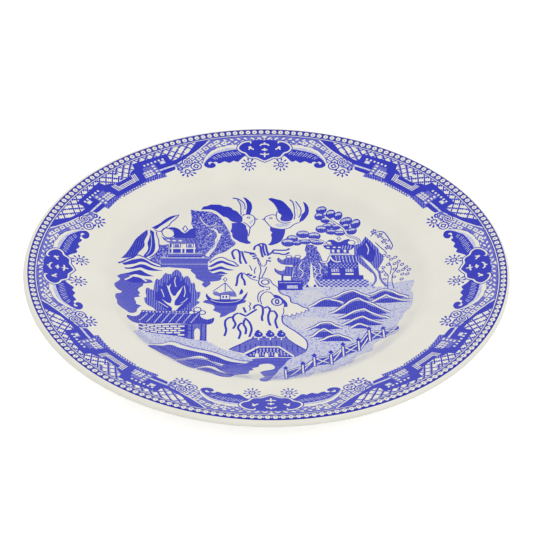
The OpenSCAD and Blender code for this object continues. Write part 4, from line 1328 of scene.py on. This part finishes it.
def right_trees(t):
    """The leafy tree at the right, and the blossom and fruit trees beyond it."""
    t.line(SOLID, 0.5, 59.7, 47, 61.7, 48.3, 64.3, 48.7, 67, 47.3, 69, 43.7, 71, 38.3, 71.7, 35, 70.3, 33)
    t.line(SOLID, 0.5, 62.3, 41.7, 64.4, 38, 66.6, 34.5, 68.3, 31)
    for x, y in ((61.7, 49.8), (64.9, 45.8), (67.1, 41), (68.9, 35.7)):
        for petal in range(5):
            a = math.radians(90 + 72 * petal)
            t.oval(SOLID, x + 1.15 * math.cos(a), y + 1.15 * math.sin(a), 0.62, 0.56, sides=6)
        t.oval(MID, x, y, 0.5, sides=6)
    for x, y in ((63, 47.4), (66.4, 43.6), (68.4, 38.6), (69.6, 40.2), (66, 46.4), (70.4, 34.6)):
        t.oval(MID, x, y, 0.7, 0.6, sides=6)
    t.patch(LEAF, 57, 47.7, 58.3, 45.7, 60, 43, 61.7, 39.7, 63.7, 36.3, 64.3, 33, 66, 30.3, 66, 26.3, 64.3,
        22.3, 62.7, 18.3, 60.3, 19.7, 59, 14.3, 56.3, 18.3, 53.7, 21.7, 51.7, 25, 50, 29.7, 50, 35, 50.3,
        39.7, 51.7, 41.7, 53.7, 42.3, 54.7, 43.7, 55.7, 45.7)
    t.patch(SOLID, 57, 45.5, 58.6, 42.6, 60, 39, 61.6, 35, 61.4, 30, 60.4, 26, 57.6, 24, 54.4, 27, 52.2, 31,
        51.6, 36, 53, 39.5, 55.2, 41)
    t.line(CREAM, 0.5, 57, 42, 58.2, 37, 57.4, 32)
    t.line(MID, 2.6, 53, 31, 57, 22.3, 59.7, 17, 61.3, 12.3, 61.3, 7.7, 60, 4, 58.3, 2.3)
    t.line(MID, 2.6, 60.3, 19.7, 62.3, 15.7, 62.7, 10.3, 63.7, 6.3, 66.3, 2.3)
    t.patch(CREAM, 53, 31, 57, 22.3, 59.7, 17, 61.3, 12.3, 61.3, 7.7, 58.8, 2.3, 65.8, 1.9, 63.7, 6.3, 62.7,
        10.3, 62.3, 15.7, 60.3, 19.7, 58.3, 24.3)
    for trunk in ((68, 12.3, 67.3, 6.3, 67, 0.3), (70.3, 13, 69.7, 7, 70.3, -0.3),
                  (68, 12.3, 66, 16, 65, 19), (70.3, 13, 73, 17, 74, 21), (69, 13, 70, 19, 69, 24)):
        t.line(SOLID, 0.5, *trunk)
    for x, y in ((66.7, 30), (70.3, 25.7), (72.7, 26.3), (74.3, 22.3), (76, 19), (78, 15.7),
                 (79.3, 12.7), (78.3, 9.7), (75.7, 11), (73.7, 14.3), (71.7, 17), (68.3, 21.7),
                 (65.7, 19.7), (64.3, 15.7), (66.7, 13), (65.7, 9), (71, 10.3), (75, 7), (72, 21.4),
                 (76.4, 14.6), (69, 28.4)):
        t.ring(SOLID, CREAM, x, y, 0.95, 0.85, 0.5)


# the film divides along these rings, and along spokes this many degrees apart, where the well turns up
WELL_RINGS = (66, 69, 72, 75, 78, 81, 83, 85, 86.4, 87.4, 88.4, 89.6, 91.2, 93)
SPOKE_STEP = 4


def scene_transfer():
    """The whole scene, each part drawn over the ones before it."""
    t = Transfer()
    for part in (
        right_ground, left_water, tall_tree, temple, leaf_rocks, large_tree, left_ground, gatehouse,
        boat, mounds, fence, bridge, cypress, pavilion, right_trees, pines, pagoda, doves, willow,
    ):
        part(t)
    for r in WELL_RINGS:
        angles = [math.radians(a) for a in range(0, 361, SPOKE_STEP)]
        t.cut(*((r * math.cos(a), r * math.sin(a)) for a in angles))
    for a in range(0, 360, SPOKE_STEP):
        c, s = math.cos(math.radians(a)), math.sin(math.radians(a))
        t.cut((WELL_RINGS[0] * c, WELL_RINGS[0] * s), (WELL_RINGS[-1] * c, WELL_RINGS[-1] * s))
    return t.mesh("scene_flat")


# ---------------------------------------------------------------- finishes
def colour(red, green, blue):
    """A finish colour given as it looks on a screen, 0 to 255, as a linear colour."""
    def straight(v):
        v = v / 255
        return v / 12.92 if v <= 0.04045 else ((v + 0.055) / 1.055) ** 2.4

    return (straight(red), straight(green), straight(blue), 1.0)


GROUND = colour(230, 228, 217)
COBALT = colour(12, 26, 178)
COBALT_DEEP = colour(12, 20, 156)
# the coat's gloss and its faint ripple
GLAZE_IOR = 1.5
GLAZE_SHINE = 0.38
RIPPLE = {"Strength": 0.12, "Distance": 0.0004}
# each noise's fineness, per millimetre on glaze and per metre on clay, and its layers of detail
LINE_DRIFT = (0.16, 3.0)
LINE_GRAIN = (0.9, 2.0)
GLAZE_CLOUD = (0.045, 4.0)
GLAZE_GRAIN = (1.3, 3.0)
GLAZE_RIPPLE = (0.12, 1.0)
CLAY_GRAIN = (2200.0, 4.0)
CLAY_CLOUD = (60.0, 3.0)
# layers and distortion of the worm-like strokes
WORMS = (1.5, 0.6)


def places(tree):
    """Places on the piece, in millimetres."""
    place = add(tree, "ShaderNodeTexCoord").outputs["Object"]
    return add(tree, "ShaderNodeVectorMath", {0: place, "Scale": 1 / MM}, operation="SCALE").outputs[0]


def noise(tree, place, scale, detail, distortion=0.0):
    """Cloudy noise from 0 to 1."""
    return add(
        tree, "ShaderNodeTexNoise",
        {"Vector": place, "Scale": scale, "Detail": detail, "Distortion": distortion}).outputs["Fac"]


def mixed(tree, factor, start, end):
    """One colour turning to another as the factor goes from 0 to 1."""
    return add(tree, "ShaderNodeMix", {"Factor": factor, 6: start, 7: end}, data_type="RGBA").outputs[2]


def inked(tree, value, middle, spread):
    """A mask that is 1 where the value lies below the middle, with a soft edge."""
    return add(
        tree, "ShaderNodeMapRange",
        {"Value": value, "From Min": maths(tree, "SUBTRACT", middle, spread),
         "From Max": maths(tree, "ADD", middle, spread), "To Min": 1.0, "To Max": 0.0},
        interpolation_type="SMOOTHSTEP").outputs[0]


def engraving_group():
    """Engraved lines of ink at an angle, wavering a little, over a paler ground."""
    tree, given, result = new_tree(
        "engraved_lines", "ShaderNodeTree",
        [
            ("Ink", "NodeSocketColor", COBALT),
            ("Ground", "NodeSocketColor", GROUND),
            ("Pitch", "NodeSocketFloat", 1.0),
            ("Angle", "NodeSocketFloat", 0.0),
            ("Share", "NodeSocketFloat", 0.5),
            ("Wander", "NodeSocketFloat", 0.6),
            ("Softness", "NodeSocketFloat", 0.3),
        ],
        [("Color", "NodeSocketColor")],
    )
    place = places(tree)
    drift = noise(tree, place, *LINE_DRIFT)
    turned = add(
        tree, "ShaderNodeVectorRotate", {"Vector": place, "Angle": given["Angle"]}, rotation_type="Z_AXIS")
    across = add(tree, "ShaderNodeSeparateXYZ", {0: turned.outputs[0]}).outputs[0]
    stray = maths(tree, "MULTIPLY", maths(tree, "SUBTRACT", drift, 0.5), given["Wander"])
    phase = maths(tree, "ADD", maths(tree, "DIVIDE", across, given["Pitch"]), stray)
    wave = maths(tree, "PINGPONG", phase, 0.5)
    fine = noise(tree, place, *LINE_GRAIN)
    uneven = maths(tree, "MULTIPLY", maths(tree, "SUBTRACT", fine, 0.5), 0.35)
    edge = maths(tree, "ADD", maths(tree, "MULTIPLY", given["Share"], 0.5), uneven)
    soft = maths(tree, "MULTIPLY", given["Softness"], 0.5)
    mask = inked(tree, wave, edge, soft)
    tree.links.new(mixed(tree, mask, given["Ground"], given["Ink"]), result[0])
    return tree


def stipple_group():
    """Small dots and worm-like strokes of ink over a paler ground."""
    tree, given, result = new_tree(
        "stippled_ink", "ShaderNodeTree",
        [
            ("Ink", "NodeSocketColor", COBALT),
            ("Ground", "NodeSocketColor", GROUND),
            ("Grain", "NodeSocketFloat", 1.0),
            ("Share", "NodeSocketFloat", 0.5),
            ("Softness", "NodeSocketFloat", 0.3),
        ],
        [("Color", "NodeSocketColor")],
    )
    place = places(tree)
    scale = maths(tree, "DIVIDE", 1.0, given["Grain"])
    worms = noise(tree, place, scale, *WORMS)
    dots = add(tree, "ShaderNodeTexVoronoi", {"Vector": place, "Scale": scale}).outputs["Distance"]
    both = maths(tree, "ADD", maths(tree, "MULTIPLY", worms, 0.8), maths(tree, "MULTIPLY", dots, 0.25))
    mask = inked(tree, both, given["Share"], given["Softness"])
    tree.links.new(mixed(tree, mask, given["Ground"], given["Ink"]), result[0])
    return tree


def coat_group():
    """What every glazed finish shares: uneven ink or tint, and the coat's faint ripple."""
    tree, given, result = new_tree(
        "glaze_coat", "ShaderNodeTree",
        [
            ("Color", "NodeSocketColor", GROUND),
            ("Tint", "NodeSocketColor", colour(223, 219, 205)),
            ("Mottle", "NodeSocketFloat", 0.3),
            ("Gloss Low", "NodeSocketFloat", 0.05),
            ("Gloss High", "NodeSocketFloat", 0.12),
        ],
        [("Color", "NodeSocketColor"), ("Roughness", "NodeSocketFloat"), ("Height", "NodeSocketFloat")],
    )
    place = places(tree)
    cloud = noise(tree, place, *GLAZE_CLOUD)
    grain = noise(tree, place, *GLAZE_GRAIN)
    blend = maths(tree, "ADD", maths(tree, "MULTIPLY", cloud, 0.6), maths(tree, "MULTIPLY", grain, 0.4))
    span = add(
        tree, "ShaderNodeMapRange",
        {"Value": blend, "From Min": 0.38, "From Max": 0.64, "To Min": 0.0, "To Max": given["Mottle"]})
    tree.links.new(mixed(tree, span.outputs[0], given["Color"], given["Tint"]), result["Color"])
    shine = add(
        tree, "ShaderNodeMapRange",
        {"Value": cloud, "From Min": 0.3, "From Max": 0.7,
         "To Min": given["Gloss Low"], "To Max": given["Gloss High"]})
    tree.links.new(shine.outputs[0], result["Roughness"])
    ripple = noise(tree, place, *GLAZE_RIPPLE)
    tree.links.new(maths(tree, "ADD", ripple, maths(tree, "MULTIPLY", grain, 0.04)), result["Height"])
    return tree


ENGRAVING = engraving_group()
STIPPLE = stipple_group()
COAT = coat_group()


def finish(name):
    """A new material, its node tree and its shader."""
    material = bpy.data.materials.new(name)
    material.use_nodes = True
    tree = material.node_tree
    shader = next(n for n in tree.nodes if n.type == "BSDF_PRINCIPLED")
    return material, tree, shader


def glazed(name, base, tint, mottle, pattern=None, values=None):
    """A glossy finish: an even colour, or a pattern of ink, under the clear coat."""
    material, tree, shader = finish(name)
    coat = add(tree, "ShaderNodeGroup", node_tree=COAT)
    feed(tree, coat, {"Color": base, "Tint": tint, "Mottle": mottle})
    if pattern is not None:
        ink = add(tree, "ShaderNodeGroup", values, node_tree=pattern)
        tree.links.new(ink.outputs[0], coat.inputs["Color"])
    bump = add(tree, "ShaderNodeBump", {**RIPPLE, "Height": coat.outputs["Height"]})
    feed(tree, shader, {
        "Base Color": coat.outputs["Color"], "Roughness": coat.outputs["Roughness"],
        "Normal": bump.outputs[0], "IOR": GLAZE_IOR, "Specular IOR Level": GLAZE_SHINE})
    return material


def engraved(name, pitch, degrees, share, wander, softness, ground):
    """Lines a pitch apart in millimetres, inked over a share of their width."""
    return glazed(
        name, GROUND, COBALT, 0.1, ENGRAVING,
        {"Ground": ground, "Pitch": pitch, "Angle": math.radians(degrees), "Share": share,
         "Wander": wander, "Softness": softness})


def stippled(name, grain, share, softness, ground, ink=COBALT):
    """Dots and strokes of a grain in millimetres; a larger share leaves less ground."""
    return glazed(
        name, GROUND, COBALT, 0.08, STIPPLE,
        {"Ink": ink, "Ground": ground, "Grain": grain, "Share": share, "Softness": softness})


def clay_finish():
    """Bare fired clay: matt, fine-grained, a little warm."""
    material, tree, shader = finish("bare_clay")
    place = add(tree, "ShaderNodeTexCoord").outputs["Object"]
    fine = noise(tree, place, *CLAY_GRAIN)
    broad = noise(tree, place, *CLAY_CLOUD)
    bump = add(tree, "ShaderNodeBump", {"Strength": 0.4, "Distance": 0.0001, "Height": fine})
    feed(tree, shader, {
        "Base Color": mixed(tree, broad, colour(224, 216, 198), colour(205, 195, 174)),
        "Normal": bump.outputs[0], "Roughness": 0.85})
    return material


# paler tones of the ink, for dots and for the ground between lines
HALF = colour(108, 114, 204)
SOFT = colour(170, 173, 222)
clay = clay_finish()
cream_glaze = glazed("cream_glaze", GROUND, colour(223, 220, 208), 0.6)
inks = [
    (SOLID, glazed("cobalt_ink", COBALT, colour(36, 48, 190), 0.5)),
    (DARK, engraved("dark_engraving", 1.15, 8, 0.86, 0.8, 0.3, HALF)),
    (MID, engraved("mid_engraving", 0.9, 90, 0.68, 0.5, 0.4, colour(165, 168, 218))),
    (LIGHT, stippled("light_stipple", 0.7, 0.44, 0.10, colour(206, 208, 222), HALF)),
    (PALE, stippled("pale_wash", 1.3, 0.40, 0.10, colour(210, 210, 216), colour(160, 164, 212))),
    (WATER, engraved("water_lines", 1.2, 90, 0.66, 0.9, 0.7, colour(118, 122, 208))),
    (LEAF, engraved("leaf_lines", 1.3, 0, 0.6, 0.8, 0.5, colour(138, 142, 214))),
    (SCRIBBLE, stippled("scribbled_ink", 0.8, 0.58, 0.05, SOFT)),
    (DEEP, glazed("deep_cobalt_ink", COBALT_DEEP, COBALT, 0.45)),
    (FERN, stippled("fern_ink", 0.8, 0.57, 0.06, SOFT)),
]


# ---------------------------------------------------------------- making the pieces
def profile_object(name, points):
    mesh = bpy.data.meshes.new(name)
    count = len(points)
    edges = [(i, i + 1) for i in range(count - 1)]
    mesh.from_pydata([(r * MM, 0.0, z * MM) for r, z in points], edges, [])
    return new_object(name, mesh)


def turned_piece(name, points, tree, material):
    """A profile turned round the axis, with its faces pointing out."""
    guide = profile_object(name + "_profile", points)
    mesh = run_tree(guide, tree, {"Turns": TURNS, "Finish": material})
    bpy.data.objects.remove(guide)
    volume = 0.0
    for polygon in mesh.polygons:
        a, b, c = (mesh.vertices[polygon.vertices[i]].co for i in range(3))
        volume += a.dot(b.cross(c))
        if len(polygon.vertices) == 4:
            volume += a.dot(c.cross(mesh.vertices[polygon.vertices[3]].co))
    if volume < 0:
        mesh.flip_normals()
    return new_object(name, mesh)


# half the run, in millimetres, over which the face's slope is taken
REACH = 0.02


def face_normals(mesh):
    """The glazed face's own direction at every point of a laid film."""
    at = np.zeros(len(mesh.vertices) * 3)
    mesh.vertices.foreach_get("co", at)
    at = at.reshape(-1, 3) / MM
    r = np.maximum(np.hypot(at[:, 0], at[:, 1]), 1e-6)
    slope = (face_height(r + REACH, GLAZE_T) - face_height(r - REACH, GLAZE_T)) / (2 * REACH)
    normal = np.stack([-slope * at[:, 0] / r, -slope * at[:, 1] / r, np.ones(len(r))], 1)
    return normal / np.linalg.norm(normal, axis=1)[:, None]


def laid_piece(name, flat, tree, face, copies=1, mirrored=False):
    """A flat transfer repeated round the axis and laid on the glazed face."""
    sheet = new_object(name + "_flat", flat)
    mesh = run_tree(sheet, tree, {
        "Copies": copies, "Mirrored": mirrored, "Glazed Face": face,
        "Shift": (PRINT_SHIFT[0] * MM, PRINT_SHIFT[1] * MM, 0.0)})
    bpy.data.objects.remove(sheet)
    mesh.normals_split_custom_set_from_vertices([tuple(n) for n in face_normals(mesh)])
    return new_object(name, mesh)


turning = turning_tree()
face_coat = turned_piece("face_coat", face_profile(), turning, cream_glaze)
recess_coat = turned_piece("recess_coat", recess_profile(), turning, cream_glaze)
laying = laying_tree(inks)
scene_film = laid_piece("scene_transfer", scene_transfer(), laying, face_coat)
border_film = laid_piece("border_transfer", border_transfer(), laying, face_coat, 4, True)
edge_film = laid_piece("bead_transfer", bead_transfer(), laying, face_coat, BEADS)

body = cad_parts["body"]
body.data.materials.clear()
body.data.materials.append(clay)

for piece, node, slot in (
    (face_coat, "face_glaze", "glaze"),
    (recess_coat, "recess_glaze", "glaze"),
    (scene_film, "centre_print", "scene_print"),
    (border_film, "border_print", "border_print"),
    (edge_film, "edge_print", "edge_print"),
):
    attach(piece, "root")
    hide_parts(node)


# ---------------------------------------------------------------- floor, light and camera
FLOOR_SIDE = 6.0
FLOOR_WHITE = (0.90, 0.90, 0.90, 1)
# the floor's own glow, as the camera meets it and as it lights the plate's underside
FLOOR_GLOW = 0.55
FLOOR_BOUNCE = 0.0
WHITE = (1, 1, 1, 1)
SKY = 0.93
# each light's name, place, width, height and power
SOFT_BOXES = (
    ("key_box", (1.1, -1.0, 1.7), 1.2, 0.9, 5.5),
    ("fill_box", (-1.3, 0.9, 1.9), 2.2, 2.2, 1.5),
)


def studio_floor():
    side = FLOOR_SIDE
    mesh = bpy.data.meshes.new("studio_floor")
    corners = [(-side, -side, 0), (side, -side, 0), (side, side, 0), (-side, side, 0)]
    mesh.from_pydata(corners, [], [(0, 1, 2, 3)])
    floor = new_object("studio_floor", mesh)
    material, tree, shader = finish("floor_white")
    seen = add(tree, "ShaderNodeLightPath").outputs["Is Camera Ray"]
    glow = add(tree, "ShaderNodeMapRange", {"Value": seen, "To Min": FLOOR_BOUNCE, "To Max": FLOOR_GLOW})
    feed(tree, shader, {
        "Base Color": FLOOR_WHITE, "Roughness": 1.0, "Specular IOR Level": 0.0, "Emission Color": WHITE,
        "Emission Strength": glow.outputs[0]})
    mesh.materials.append(material)


def white_sky():
    world = bpy.data.worlds.new("studio")
    world.use_nodes = True
    feed(world.node_tree, world.node_tree.nodes["Background"], {"Color": WHITE, "Strength": SKY})
    bpy.context.scene.world = world


def soft_box(name, place, width, height, power):
    """A soft rectangular light aimed at the plate's middle, hidden from the camera."""
    light = bpy.data.lights.new(name, "AREA")
    light.shape = "RECTANGLE"
    light.size = width
    light.size_y = height
    light.energy = power
    obj = bpy.data.objects.new(name, light)
    bpy.context.scene.collection.objects.link(obj)
    obj.rotation_euler = Vector(place).to_track_quat("Z", "Y").to_euler()
    obj.location = place
    obj.visible_camera = False


studio_floor()
white_sky()
for box in SOFT_BOXES:
    soft_box(*box)

CAMERA_AZIMUTH = math.radians(-1.32)
CAMERA_HEIGHT = math.radians(37.127)
CAMERA_ROLL = math.radians(0.785)
CAMERA_REACH = 1.1312
CAMERA_LENS = 139.15
SENSOR_WIDTH = 36.0
AIM_DOWN = 0.0035
AIM_LEFT = 0.00013


def place_camera():
    """The camera stands back from the middle of the rim's plane, and looks slightly below it."""
    a, e = CAMERA_AZIMUTH, CAMERA_HEIGHT
    back = Vector((math.sin(a) * math.cos(e), -math.cos(a) * math.cos(e), math.sin(e)))
    level = Vector((math.cos(a), math.sin(a), 0))
    upward = back.cross(level)
    right = level * math.cos(CAMERA_ROLL) + upward * math.sin(CAMERA_ROLL)
    up = back.cross(right)
    camera = bpy.data.objects.new("camera", bpy.data.cameras.new("camera"))
    camera.data.lens = CAMERA_LENS
    camera.data.sensor_width = SENSOR_WIDTH
    place = Vector((0, 0, PLATE_H * MM)) + back * CAMERA_REACH - up * AIM_DOWN - right * AIM_LEFT
    turn = Matrix((right, up, back)).transposed().to_4x4()
    camera.matrix_world = Matrix.Translation(place) @ turn
    bpy.context.scene.collection.objects.link(camera)
    bpy.context.scene.camera = camera


place_camera()
bpy.context.scene.view_settings.view_transform = "Standard"
bpy.context.scene.view_settings.look = "None"
